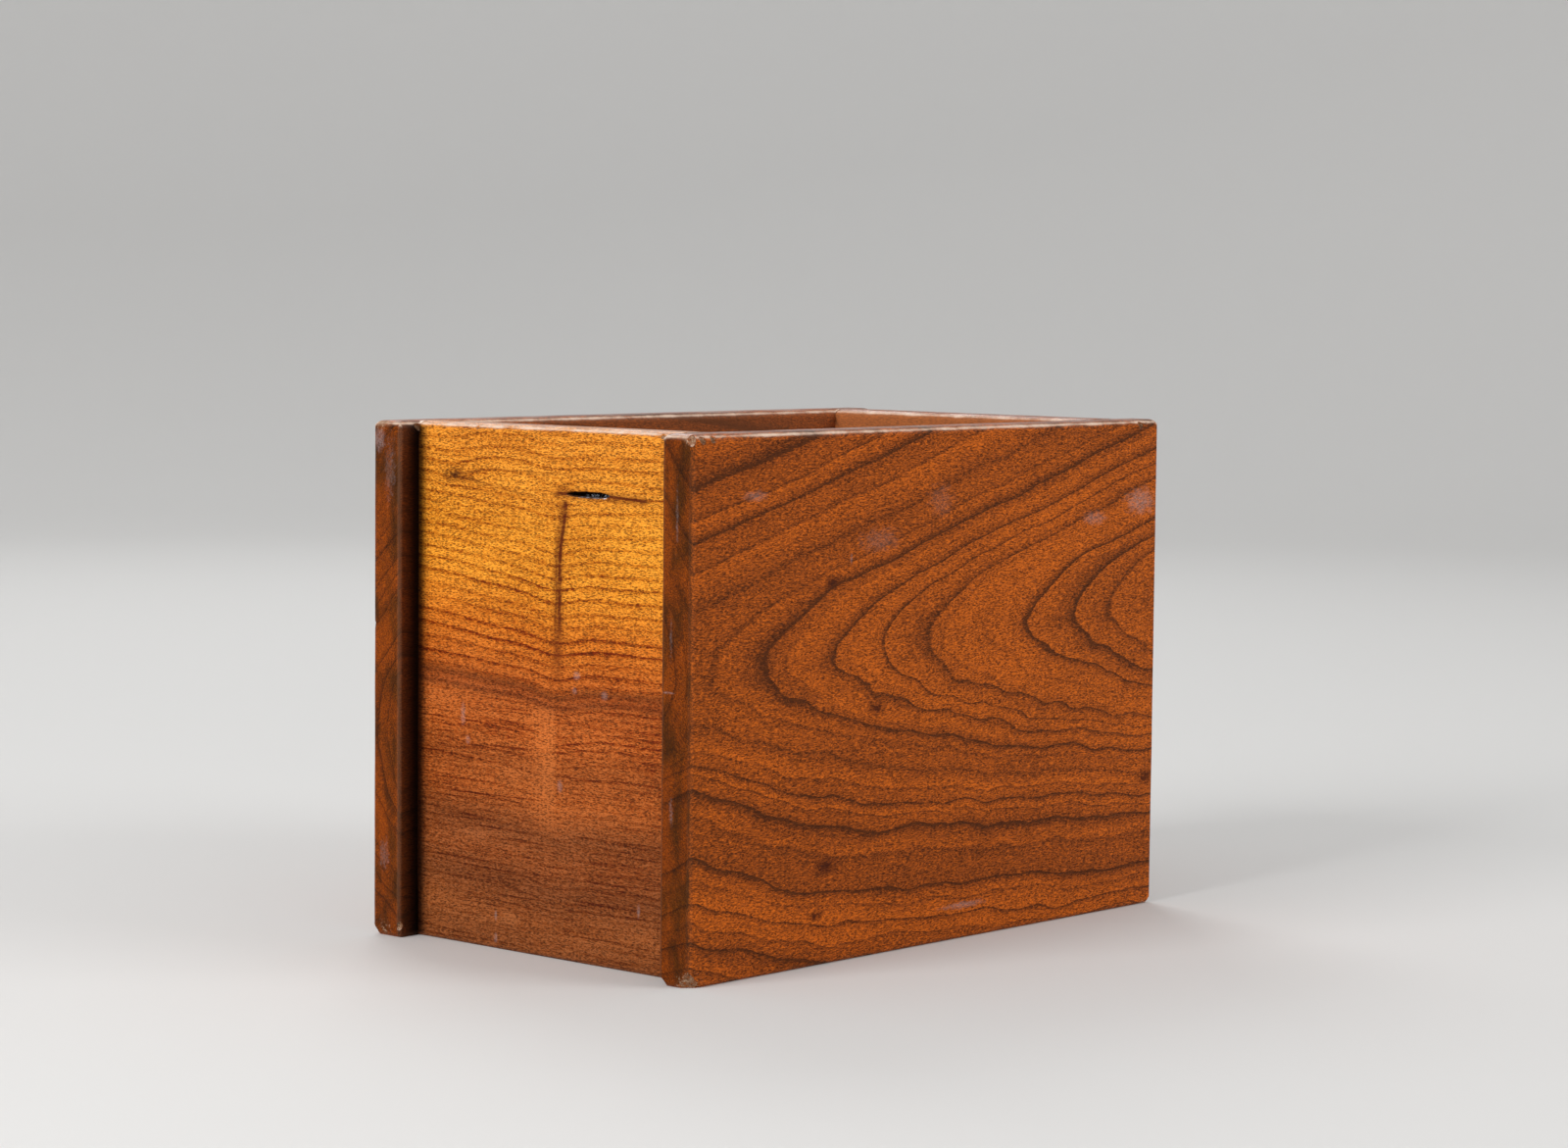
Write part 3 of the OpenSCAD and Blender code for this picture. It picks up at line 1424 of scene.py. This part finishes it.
FAR_FINISH = replace(
    SIDE_FINISH,
    name="far_side_walnut",
    rings=tuple(replace(ring, place=ring.place * 1.25 + 46.0) for ring in SIDE_FINISH.rings),
    arris_share=0.06,
    apex_height=84.0,
    tilt=-0.05,
    bluntness=16.0,
    slope_up=2.3,
    slope_down=1.9,
    flank_up=2.6,
    droop=0.12,
    droop_from=40.0,
    knots=(Knot(48, 62, 2.4), Knot(-84, 150, 2.0), Knot(10, 128, 1.8)),
    marks=(
        Mark(70, 40, 12, 2.0, 0.3),
        Mark(-90, 96, 5, 3.0, 0.3),
        Mark(30, 160, 8, 2.0, 0.25),
        Mark(-20, 30, 2.0, 5.0, 0.3),
        Mark(132, 183, 2, 5, 0.6, 0.7, 3.0, 3.0),
        Mark(132, 30, 2, 6, 0.3, 1.0, 6.0, 3.0),
        Mark(132, 172, 2, 12, 0.2, 1.0, 9.0, 3.0),
    ),
)

FRONT_FINISH = SplitWalnut(
    name="front_walnut",
    light=srgb(255, 255, 255),
    middle=srgb(212, 194, 160),
    dark=srgb(126, 78, 54),
    streaks=0.75,
    drift=0.7,
    grit=1.45,
    ring_strength=1.35,
    busy_share=0.3,
    # Painted shadow down the front board near its ends, beside the side boards' overhangs.
    corner_shadow_from=59.9,
    corner_shadow_to=65.7,
    # Partly the wood's tone and partly painted light: golden and lighter towards the top, redder and darker
    # towards the bottom.
    tints_and_light=(
        (0.0, srgb(150, 86, 46)),
        (0.06, srgb(168, 96, 50)),
        (0.13, srgb(148, 84, 46)),
        (0.18, srgb(172, 96, 50)),
        (0.235, srgb(154, 86, 45)),
        (0.3, srgb(196, 106, 48)),
        (0.36, srgb(184, 100, 46)),
        (0.42, srgb(212, 114, 50)),
        (0.477, srgb(200, 106, 46)),
        (0.487, srgb(150, 76, 34)),
        (0.497, srgb(184, 94, 40)),
        (0.507, srgb(142, 72, 30)),
        (0.525, srgb(208, 110, 42)),
        (0.6, srgb(238, 136, 44)),
        (0.7, srgb(254, 164, 50)),
        (0.8, srgb(255, 168, 52)),
        (1.0, srgb(250, 160, 56)),
    ),
    knots=(Knot(-47.4, 171, 2.9, 3.0),),
    gleams=(
        Mark(-36, 41, 10, 2.6, 0.5, 0.6, half_depth=20),
        Mark(-18, 11.5, 6, 3.2, 0.6, 0.6, half_depth=20),
        Mark(-16, 64, 9, 5, 0.3, 0.8, half_depth=20),
        Mark(-55, 88, 12, 3, 0.3, 0.8, half_depth=20),
    ),
    marks=(
        Mark(16, 102.6, 2, 2, 0.5),
        Mark(15, 97, 1.5, 1.5, 0.4),
        Mark(29.6, 96.4, 2, 2, 0.5),
        Mark(-42.4, 84, 1.5, 5, 0.45),
        Mark(-39.8, 75, 1.5, 2, 0.4),
        Mark(7.8, 62.4, 1.6, 3, 0.4),
        Mark(47.2, 22, 1, 3, 0.4),
        Mark(-24.8, 12, 0.8, 2.5, 0.5),
        Mark(-24.8, 4, 1.2, 2.5, 0.4),
    ),
)

REAR_FINISH = StraightWalnut(
    name="rear_walnut",
    light=srgb(192, 102, 36),
    middle=srgb(156, 74, 22),
    dark=srgb(88, 40, 14),
    inside=srgb(190, 122, 78),
    inside_share=0.5,
    upper_pitch=5.4,
    lower_pitch=3.4,
    change_height=70.0,
    dip_at=-30.0,
    dip=5.0,
    slant=0.04,
    knots=(Knot(26, 118, 2.2, 5.0),),
    marks=(Mark(-20, 60, 3, 3, 0.35), Mark(34, 30, 1.5, 6, 0.35), Mark(-44, 140, 5, 1.6, 0.3)),
)

BOTTOM_FINISH = StraightWalnut(
    name="bottom_walnut",
    light=srgb(156, 92, 50),
    middle=srgb(124, 70, 36),
    dark=srgb(76, 40, 20),
    roughness=0.62,
    wear_share=0.15,
    inside_share=0.0,
    shade_share=0.0,
    change_height=-20.0,
    full_height=80.0,
    dip_at=-40.0,
    slant=0.03,
    upper_pitch=5.5,
)


# ---------------------------------------------------------------------------------------------
# Meshes
# ---------------------------------------------------------------------------------------------


class Axis(Enum):
    """An axis of the box."""

    X = 0
    Y = 1
    Z = 2

    def unit(self) -> Vector:
        """Unit vector along the axis."""
        return Vector([1.0 if index == self.value else 0.0 for index in range(3)])


def wander(place: Vector, waves: float, seed: float) -> float:
    """Smooth noise over space.

    Args:
        place: Position in metres.
        waves: Waves in a millimetre.
        seed: Moves the pattern, so that boards differ.

    Returns:
        A value from about -1 to 1.
    """
    return noise.noise(place / MM * waves + Vector((seed, -seed, seed * 0.5)))


def ease(value: float) -> float:
    """Smooth step: 0 below 0, 1 above 1."""
    share = min(max(value, 0.0), 1.0)
    return share * share * (3.0 - 2.0 * share)


@dataclass(frozen=True)
class Flat:
    """A corner or edge that was knocked flat: the plane that it was pressed back to."""

    centre: Vector
    outward: Vector
    roughness: float
    paleness: float
    reach: float = 14 * MM
    grid_half: float = 9 * MM
    grid_step: float = 0.7 * MM

    def carve(self, bm: bmesh.types.BMesh, bare: bmesh.types.BMLayerItem) -> None:
        """Presses the vertices outside the plane back to it.

        Args:
            bm: The board.
            bare: Layer that marks bare wood.
        """
        outward = self.outward.normalized()
        for vertex in bm.verts:
            away = vertex.co - self.centre
            if away.length > self.reach:
                continue
            proud = away.dot(outward)
            if proud > 0:
                pit = (0.5 + 0.5 * wander(vertex.co, 0.9, 3.0)) * self.roughness
                vertex.co -= outward * (proud + pit * ease(proud / self.roughness))
                vertex[bare] = max(vertex[bare], self.paleness * ease(proud / (0.4 * MM)))


def knocked(corner: Triple, reach: Triple, paleness: float, roughness: float = 0.3) -> Flat:
    """Describes a corner that was knocked flat.

    Args:
        corner: The corner before the knock.
        reach: How far the flat reaches along each axis from the corner, in millimetres, with signs.
        paleness: How bare the wood is.
        roughness: Height of the torn fibres, in millimetres.

    Returns:
        The flat.
    """
    offset = Vector(reach) * MM
    outward = Vector([-1.0 / part for part in offset])
    return Flat(Vector(corner) + offset / 3, outward, roughness * MM, paleness)


@dataclass(frozen=True)
class Bite:
    """A chip or nick: a ball-shaped bite, pressed in along one direction."""

    centre: Vector
    radius: float
    inward: Vector
    paleness: float
    roughness: float = 0.15 * MM

    @property
    def grid_half(self) -> float:
        """Half size of the fine grid round the bite."""
        return self.radius + 3 * MM

    @property
    def grid_step(self) -> float:
        """Width of that grid's strips."""
        return max(self.radius * 0.35, 0.3 * MM)

    def carve(self, bm: bmesh.types.BMesh, bare: bmesh.types.BMLayerItem) -> None:
        """Pushes the vertices within the ball to its far side.

        Args:
            bm: The board.
            bare: Layer that marks bare wood.
        """
        inward = self.inward.normalized()
        for vertex in bm.verts:
            away = vertex.co - self.centre
            size = self.radius * (1.0 + 0.25 * wander(vertex.co, 0.7, 9.0))
            if away.length >= size:
                continue
            ahead = away.dot(inward)
            aside = away.length_squared - ahead * ahead
            push = math.sqrt(max(size * size - aside, 0.0)) - ahead
            pit = (0.5 + 0.5 * wander(vertex.co, 1.3, 5.0)) * self.roughness
            vertex.co += inward * (push + pit * ease(push / MM))
            vertex[bare] = max(vertex[bare], self.paleness * ease(push / (0.3 * MM)))


@dataclass(frozen=True)
class Scuff:
    """A rubbed place: bare specks round a corner or along an edge, with no wood lost."""

    centre: Vector
    radius: float
    paleness: float
    grid_step: float = 0.7 * MM

    @property
    def grid_half(self) -> float:
        """Half size of the fine grid round the scuff."""
        return self.radius

    def carve(self, bm: bmesh.types.BMesh, bare: bmesh.types.BMLayerItem) -> None:
        """Marks the vertices within the ball, less towards its edge.

        Args:
            bm: The board.
            bare: Layer that marks bare wood.
        """
        for vertex in bm.verts:
            share = ease(1.0 - (vertex.co - self.centre).length / self.radius)
            vertex[bare] = max(vertex[bare], self.paleness * share)


def bite(centre: Triple, radius: float, inward: Triple, paleness: float = 1.0) -> Bite:
    """Describes a chip, with its radius in millimetres."""
    return Bite(Vector(centre), radius * MM, Vector(inward), paleness)


def scuff(centre: Triple, radius: float, paleness: float) -> Scuff:
    """Describes a rubbed place, with its radius in millimetres."""
    return Scuff(Vector(centre), radius * MM, paleness)


@dataclass
class Board:
    """One board of the box, with its sizes, its wear and its finish.

    The mesh starts as a merged copy of the board in the frame, is cut into a fine grid, and is then
    carved: its edges are softened unevenly and its chips are pressed in.
    """

    node: str
    piece: str
    slot: str
    finish: WalnutFinish
    axes: BoardAxes
    seed: float
    grid: float = 4 * MM
    wear_depth: float = 0.25 * MM
    wear_reach: float = 1.8 * MM
    hidden_axis: Optional[Axis] = None
    damage: list[Union[Flat, Bite, Scuff]] = field(default_factory=list)

    def __post_init__(self) -> None:
        """Reads the board's box from the frame."""
        self.low, self.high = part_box(self.node)

    @property
    def size(self) -> Vector:
        """Size of the board."""
        return self.high - self.low

    def wear_half(self) -> Vector:
        """Half size of the board, made very large along the axis whose ends are hidden in a joint.

        Returns:
            The half size, in metres.
        """
        half = self.size / 2
        if self.hidden_axis is not None:
            half[self.hidden_axis.value] = 1.0
        return half

    def solid(self) -> bmesh.types.BMesh:
        """Copies the board from the frame, with its loose triangles merged into whole faces.

        Returns:
            The copy.
        """
        bm = bmesh.new()
        bm.from_mesh(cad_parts[self.node].data)
        bmesh.ops.remove_doubles(bm, verts=bm.verts[:], dist=MERGE_REACH)
        bmesh.ops.dissolve_limit(bm, angle_limit=FLAT_ANGLE, verts=bm.verts[:], edges=bm.edges[:])
        return bm

    def slice(self, bm: bmesh.types.BMesh, axis: Axis, step: float, low: Vector, high: Vector) -> None:
        """Cuts the faces whose middles lie in a region into strips.

        Args:
            bm: The board.
            axis: Direction across the strips.
            step: Width of a strip.
            low: Lowest corner of the region.
            high: Highest corner of the region.
        """
        faces = []
        for face in bm.faces:
            middle = face.calc_center_bounds()
            if all(low[i] <= middle[i] <= high[i] for i in range(3)):
                faces.append(face)
        edges = {edge for face in faces for edge in face.edges}
        verts = {vertex for face in faces for vertex in face.verts}
        geometry = [*verts, *edges, *faces]
        start = max(low[axis.value], self.low[axis.value])
        end = min(high[axis.value], self.high[axis.value])
        count = max(round((end - start) / step), 1)
        for index in range(1, count):
            point = Vector((0.0, 0.0, 0.0))
            point[axis.value] = start + (end - start) * index / count
            normal = axis.unit()
            cut = bmesh.ops.bisect_plane(bm, geom=geometry, dist=CUT_REACH, plane_co=point, plane_no=normal)
            geometry = cut["geom"]

    def grid_up(self, bm: bmesh.types.BMesh) -> None:
        """Cuts the whole board into a grid, and the places with damage into a finer one.

        Args:
            bm: The board.
        """
        reach = Vector((1.0, 1.0, 1.0))
        for axis in Axis:
            if self.size[axis.value] > 3 * self.grid:
                self.slice(bm, axis, self.grid, -reach, reach)
        for hurt in self.damage:
            around = Vector((1.0, 1.0, 1.0)) * hurt.grid_half
            for axis in Axis:
                self.slice(bm, axis, hurt.grid_step, hurt.centre - around, hurt.centre + around)

    def soften(self, bm: bmesh.types.BMesh) -> None:
        """Rubs the exposed edges down, unevenly.

        Args:
            bm: The board.
        """
        bm.normal_update()
        middle = (self.low + self.high) / 2
        half = self.wear_half()
        for vertex in bm.verts:
            gaps = sorted(half[i] - abs(vertex.co[i] - middle[i]) for i in range(3))
            near = 1.0 - ease(gaps[1] / self.wear_reach)
            if near <= 0.0:
                continue
            slow = 0.5 + 0.5 * wander(vertex.co, 0.05, self.seed)
            quick = 0.5 + 0.5 * wander(vertex.co, 0.3, self.seed + 7.0)
            vertex.co -= vertex.normal * (near * self.wear_depth * (0.7 * slow + 0.3 * quick))

    def carve(self, bm: bmesh.types.BMesh) -> None:
        """Presses the damage in, and marks the bare wood.

        Args:
            bm: The board.
        """
        bare, _ = (bm.verts.layers.float.new(name) for name in MASKS)
        for hurt in self.damage:
            hurt.carve(bm, bare)

    def build(self) -> bpy.types.Object:
        """Builds the board, dresses it and puts it on the frame.

        Returns:
            The finished piece.
        """
        bm = self.solid()
        self.grid_up(bm)
        self.soften(bm)
        self.carve(bm)
        bmesh.ops.triangulate(bm, faces=[face for face in bm.faces if len(face.verts) > 4])
        mesh = bpy.data.meshes.new(self.piece)
        bm.to_mesh(mesh)
        bm.free()
        mesh.shade_smooth()
        mesh.set_sharp_from_angle(angle=SHARP_ANGLE)
        piece = put(self.piece, mesh)
        even = piece.modifiers.new("even_shading", "WEIGHTED_NORMAL")
        even.keep_sharp = True
        mesh.materials.append(self.finish.material(self.axes, self.low, self.high, self.wear_half()))
        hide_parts(self.node)
        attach(piece, "root")
        LOG.info("%s: %d faces, slot %s", self.piece, len(mesh.polygons), self.slot)
        return piece


@dataclass
class SplitBoard(Board):
    """The front end board, with an open knot split.

    The fine grid round the split is given along the outer face from its middle, and up from its foot.
    """

    split: Split = Split()
    fine_along: tuple[float, float] = (0.0, 54 * MM)
    fine_height: tuple[float, float] = (160 * MM, 172.5 * MM)
    fine_skin: float = 1 * MM
    strip_along: float = 0.6 * MM
    strip_up: float = 0.25 * MM

    def board_place(self, spot: Vector) -> tuple[float, float, float]:
        """Position of a point in the board: along, depth and height, in metres."""
        away = spot - self.axes.origin
        return away.dot(self.axes.along), away.dot(self.axes.inward), away.dot(self.axes.upward)

    def grid_up(self, bm: bmesh.types.BMesh) -> None:
        """Adds a fine grid round the split to the board's own.

        Args:
            bm: The board.
        """
        super().grid_up(bm)
        axes = self.axes
        depths = (-self.fine_skin, self.fine_skin)
        ends = [
            axes.origin + axes.along * along + axes.upward * height + axes.inward * depth
            for along, height, depth in zip(self.fine_along, self.fine_height, depths)
        ]
        low, high = (Vector(map(pick, *ends)) for pick in (min, max))
        self.slice(bm, Axis.Y, self.strip_along, low, high)
        self.slice(bm, Axis.Z, self.strip_up, low, high)

    def carve(self, bm: bmesh.types.BMesh) -> None:
        """Opens the split.

        Args:
            bm: The board.
        """
        super().carve(bm)
        cleft = bm.verts.layers.float["cleft"]
        middle_along, middle_height = self.split.along * MM, self.split.height * MM
        half_length, half_height = self.split.half_length * MM, self.split.half_height * MM
        for vertex in bm.verts:
            along, depth, height = self.board_place(vertex.co)
            if depth > 0.5 * MM:
                continue
            run = (along - middle_along) / half_length
            if abs(run) < 1.0:
                ragged = 0.35 * MM * wander(vertex.co, 0.35, 2.0) * (1.0 - run * run)
                half = half_height * (1.0 - run * run) ** 0.45
                above = height - middle_height
                edge = half + ragged if above > 0 else half
                inside = 1.0 - abs(above) / max(edge, 0.05 * MM)
                if inside > 0:
                    sink = self.split.depth * MM * ease(inside * 3.0) * (1.0 - abs(run) ** 4)
                    vertex.co += self.axes.inward * sink
                    vertex[cleft] = ease(inside * 6.0)


# ---------------------------------------------------------------------------------------------
# Studio
# ---------------------------------------------------------------------------------------------


@dataclass(frozen=True)
class Lamp:
    """A soft square lamp: where it stands, how wide it is and its power in watts."""

    name: str
    place: Triple
    size: float
    power: float


@dataclass
class Studio:
    """A round pale floor that sweeps up to a wall, three soft lamps and the camera."""

    aim: Vector
    azimuth: float = -47.987
    elevation: float = 4.382
    roll: float = 0.556
    distance: float = 1.4407
    aim_right: float = 0.0031
    aim_up: float = 0.0363
    lens: float = 87.04
    floor_radius: float = 2.2
    sweep_radius: float = 1.3
    wall_height: float = 2.2
    floor_colour: Colour = (0.76, 0.755, 0.745, 1.0)
    floor_roughness: float = 0.8
    world_strength: float = 0.42
    lamps: tuple[Lamp, ...] = (
        Lamp("left_lamp", (-2.1, 0.15, 1.15), 1.1, 36.0),
        Lamp("right_lamp", (0.95, -2.2, 1.1), 1.3, 24.0),
        Lamp("back_lamp", (0.9, 1.5, 1.7), 1.0, 12.0),
    )

    def camera(self) -> None:
        """Sets the camera at its distance from the box, turned and rolled."""
        azimuth = math.radians(self.azimuth)
        elevation = math.radians(self.elevation)
        back = Vector(
            (
                math.sin(azimuth) * math.cos(elevation),
                -math.cos(azimuth) * math.cos(elevation),
                math.sin(elevation),
            )
        )
        level = Vector((math.cos(azimuth), math.sin(azimuth), 0.0))
        above = back.cross(level)
        roll = math.radians(self.roll)
        right = level * math.cos(roll) + above * math.sin(roll)
        upward = above * math.cos(roll) - level * math.sin(roll)
        place = self.aim + back * self.distance + right * self.aim_right + upward * self.aim_up
        turn = Matrix((right, upward, back)).transposed().to_4x4()
        data = bpy.data.cameras.new("view")
        data.lens = self.lens
        data.sensor_width = 36.0
        made = put("view", data)
        made.matrix_world = Matrix.Translation(place) @ turn
        bpy.context.scene.camera = made

    def light(self) -> None:
        """Hangs the lamps, each aimed at the box."""
        for lamp in self.lamps:
            data = bpy.data.lights.new(lamp.name, "AREA")
            data.shape = "SQUARE"
            data.size = lamp.size
            data.energy = lamp.power
            made = put(lamp.name, data)
            made.location = lamp.place
            made.rotation_euler = (self.aim - made.location).to_track_quat("-Z", "Y").to_euler()

    def world(self) -> None:
        """Gives a grey world that looks white to the camera."""
        world = bpy.data.worlds.new("studio")
        world.use_nodes = True
        world.node_tree.nodes.clear()
        graph = Graph(world.node_tree)
        rays = ("Is Camera Ray", "Is Transmission Ray")
        seen, through = (graph.value("LightPath", {}, ray) for ray in rays)
        strength = graph.blend(seen | through, self.world_strength, 1.0)
        sky = graph.value("Background", {"Color": WHITE, "Strength": strength})
        graph.node("OutputWorld", {"Surface": sky})
        bpy.context.scene.world = world

    def floor(self) -> None:
        """Makes the floor: a disc that sweeps up all round to a low wall."""
        bm = bmesh.new()
        last = bm.verts.new((0.0, 0.0, 0.0))
        bends = [math.radians(90 * index / SWEEP_STEPS) for index in range(SWEEP_STEPS + 1)]
        rim = self.floor_radius
        sweep = self.sweep_radius
        points = [Vector((rim + sweep * math.sin(b), 0.0, sweep * (1 - math.cos(b)))) for b in bends]
        points.append(Vector((rim + sweep, 0.0, self.wall_height)))
        for point in points:
            vertex = bm.verts.new(point)
            bm.edges.new((last, vertex))
            last = vertex
        bmesh.ops.spin(
            bm,
            geom=bm.verts[:] + bm.edges[:],
            cent=(0.0, 0.0, 0.0),
            axis=(0.0, 0.0, 1.0),
            angle=math.tau,
            steps=FLOOR_STEPS,
            use_merge=True,
        )
        bmesh.ops.remove_doubles(bm, verts=bm.verts[:], dist=0.01 * MM)
        bmesh.ops.recalc_face_normals(bm, faces=bm.faces[:])
        if min(bm.faces, key=lambda face: face.calc_center_median().z).normal.z < 0:
            bmesh.ops.reverse_faces(bm, faces=bm.faces[:])
        mesh = bpy.data.meshes.new("studio_floor")
        bm.to_mesh(mesh)
        bm.free()
        mesh.shade_smooth()
        put("studio_floor", mesh)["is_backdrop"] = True
        paint = bpy.data.materials.new("studio_floor")
        paint.use_nodes = True
        shader = paint.node_tree.nodes["Principled BSDF"]
        shader.inputs["Base Color"].default_value = self.floor_colour
        shader.inputs["Roughness"].default_value = self.floor_roughness
        mesh.materials.append(paint)

    def build(self) -> None:
        """Builds the whole studio and sets plain colours."""
        self.camera()
        self.light()
        self.world()
        self.floor()
        bpy.context.scene.view_settings.view_transform = "Standard"
        LOG.info("studio: %d lamps", len(self.lamps))


# ---------------------------------------------------------------------------------------------
# The box
# ---------------------------------------------------------------------------------------------


@dataclass
class WalnutBox:
    """The five boards, in the order that they go together."""

    boards: list[Board] = field(default_factory=list)

    def plan(self) -> None:
        """Says how each board lies and what has happened to it."""
        up = Vector((0.0, 0.0, 1.0))
        x = Vector((1.0, 0.0, 0.0))
        y = Vector((0.0, 1.0, 0.0))
        near_low, near_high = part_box("near_side_board")
        far_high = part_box("far_side_board")[1]
        front_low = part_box("front_end_board")[0]
        rear_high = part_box("rear_end_board")[1]
        bottom_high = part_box("bottom_board")[1]
        front, back, top = near_low.x, near_high.x, near_high.z
        near, near_in = near_low.y, near_high.y
        far_in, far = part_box("far_side_board")[0].y, far_high.y

        self.boards = [
            Board(
                node="near_side_board",
                piece="near_side_worn",
                slot="side_walnut",
                finish=SIDE_FINISH,
                axes=BoardAxes(Vector((0.0, near, 0.0)), x, y, up),
                seed=1.0,
                damage=[
                    knocked((front, near, top), (3.4, 6.0, -5.0), 0.8, 0.5),
                    scuff((front, near + 2 * MM, top - 2 * MM), 6, 0.55),
                    knocked((front, near, 0.0), (6.5, 6.0, 6.5), 0.8, 0.6),
                    scuff((front, near, 0.0), 12, 0.8),
                    knocked((front, near_in, 0.0), (3.5, -4.5, 4.0), 0.4),
                    knocked((back, near, 0.0), (-3.6, 3.0, 3.2), 0.3),
                    scuff((back - 7 * MM, near, 0.0), 8, 0.5),
                    bite((front + 5.2 * MM, near, top - 1.8 * MM), 1.5, (0, 1, -0.5)),
                    bite((front + 10.6 * MM, near, top - 1.8 * MM), 1.4, (0, 1, -0.5)),
                    bite((back - 11.0 * MM, near, top - 2.0 * MM), 1.5, (0, 1, -0.5)),
                    bite((back - 7.0 * MM, near, top - 0.8 * MM), 1.0, (0, 1, -1)),
                    bite((front, near_in, 101.4 * MM), 0.9, (1, -1, 0), 0.7),
                    bite((-58 * MM, near, top - 0.6 * MM), 0.9, (0, 1, -1), 0.8),
                    bite((31 * MM, near_in, top - 0.5 * MM), 1.2, (0, -1, -1), 0.7),
                ],
            ),
            Board(
                node="far_side_board",
                piece="far_side_worn",
                slot="side_walnut",
                finish=FAR_FINISH,
                axes=BoardAxes(Vector((0.0, far, 0.0)), -x, -y, up),
                seed=12.0,
                damage=[
                    scuff((front, far - 4 * MM, top), 9, 0.8),
                    knocked((front, far, 0.0), (4.0, -4.0, 4.0), 0.4),
                    scuff((front, far - 6 * MM, 3 * MM), 9, 0.5),
                    knocked((back, far, top), (-4.5, -4.0, -5.0), 0.7),
                    knocked((back, far, 0.0), (-7.0, -5.0, 5.0), 0.6),
                    bite((front - 0.9 * MM, far + 0.9 * MM, 115 * MM), 2.3, (1, -1, 0)),
                    bite((front, far_in, 4.5 * MM), 1.7, (1, 1, 0.3), 0.9),
                    bite((front + 9.0 * MM, far_in, top - 2.0 * MM), 1.5, (0, 1, -0.6), 0.9),
                    bite((44 * MM, far, top - 0.7 * MM), 1.3, (0, -1, -1), 0.9),
                    bite((-71 * MM, far, 0.6 * MM), 1.4, (0, -1, 1), 0.7),
                ],
            ),
            SplitBoard(
                node="front_end_board",
                piece="front_end_worn",
                slot="front_walnut",
                finish=FRONT_FINISH,
                axes=BoardAxes(Vector((front_low.x, 0.0, 0.0)), -y, x, up),
                seed=23.0,
                hidden_axis=Axis.Y,
                damage=[
                    bite((front_low.x, 36 * MM, top - 1.2 * MM), 1.1, (1, 0, -0.6), 0.9),
                    bite((front_low.x, -57 * MM, top - 1.4 * MM), 1.2, (1, 0, -0.6), 0.9),
                ],
            ),
            Board(
                node="rear_end_board",
                piece="rear_end_worn",
                slot="rear_walnut",
                finish=REAR_FINISH,
                axes=BoardAxes(Vector((rear_high.x, 0.0, 0.0)), y, -x, up),
                seed=34.0,
                hidden_axis=Axis.Y,
                damage=[
                    bite((rear_high.x, 18 * MM, top - 0.9 * MM), 1.4, (-1, 0, -0.8), 0.9),
                    bite((rear_high.x, -41 * MM, 0.7 * MM), 1.3, (-1, 0, 0.8), 0.7),
                ],
            ),
            Board(
                node="bottom_board",
                piece="bottom_worn",
                slot="bottom_walnut",
                finish=BOTTOM_FINISH,
                axes=BoardAxes(Vector((0.0, 0.0, bottom_high.z)), x, -up, y),
                seed=45.0,
            ),
        ]

    def build(self) -> None:
        """Builds the boards in order."""
        self.plan()
        for board in self.boards:
            board.build()


def main() -> None:
    """Builds the studio and the box."""
    logging.basicConfig(level=logging.INFO, format="%(name)s: %(message)s")
    frame_low, frame_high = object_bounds()
    Studio(aim=Vector((0.0, 0.0, (frame_low.z + frame_high.z) / 2))).build()
    WalnutBox().build()


if __name__ == "__main__":
    main()
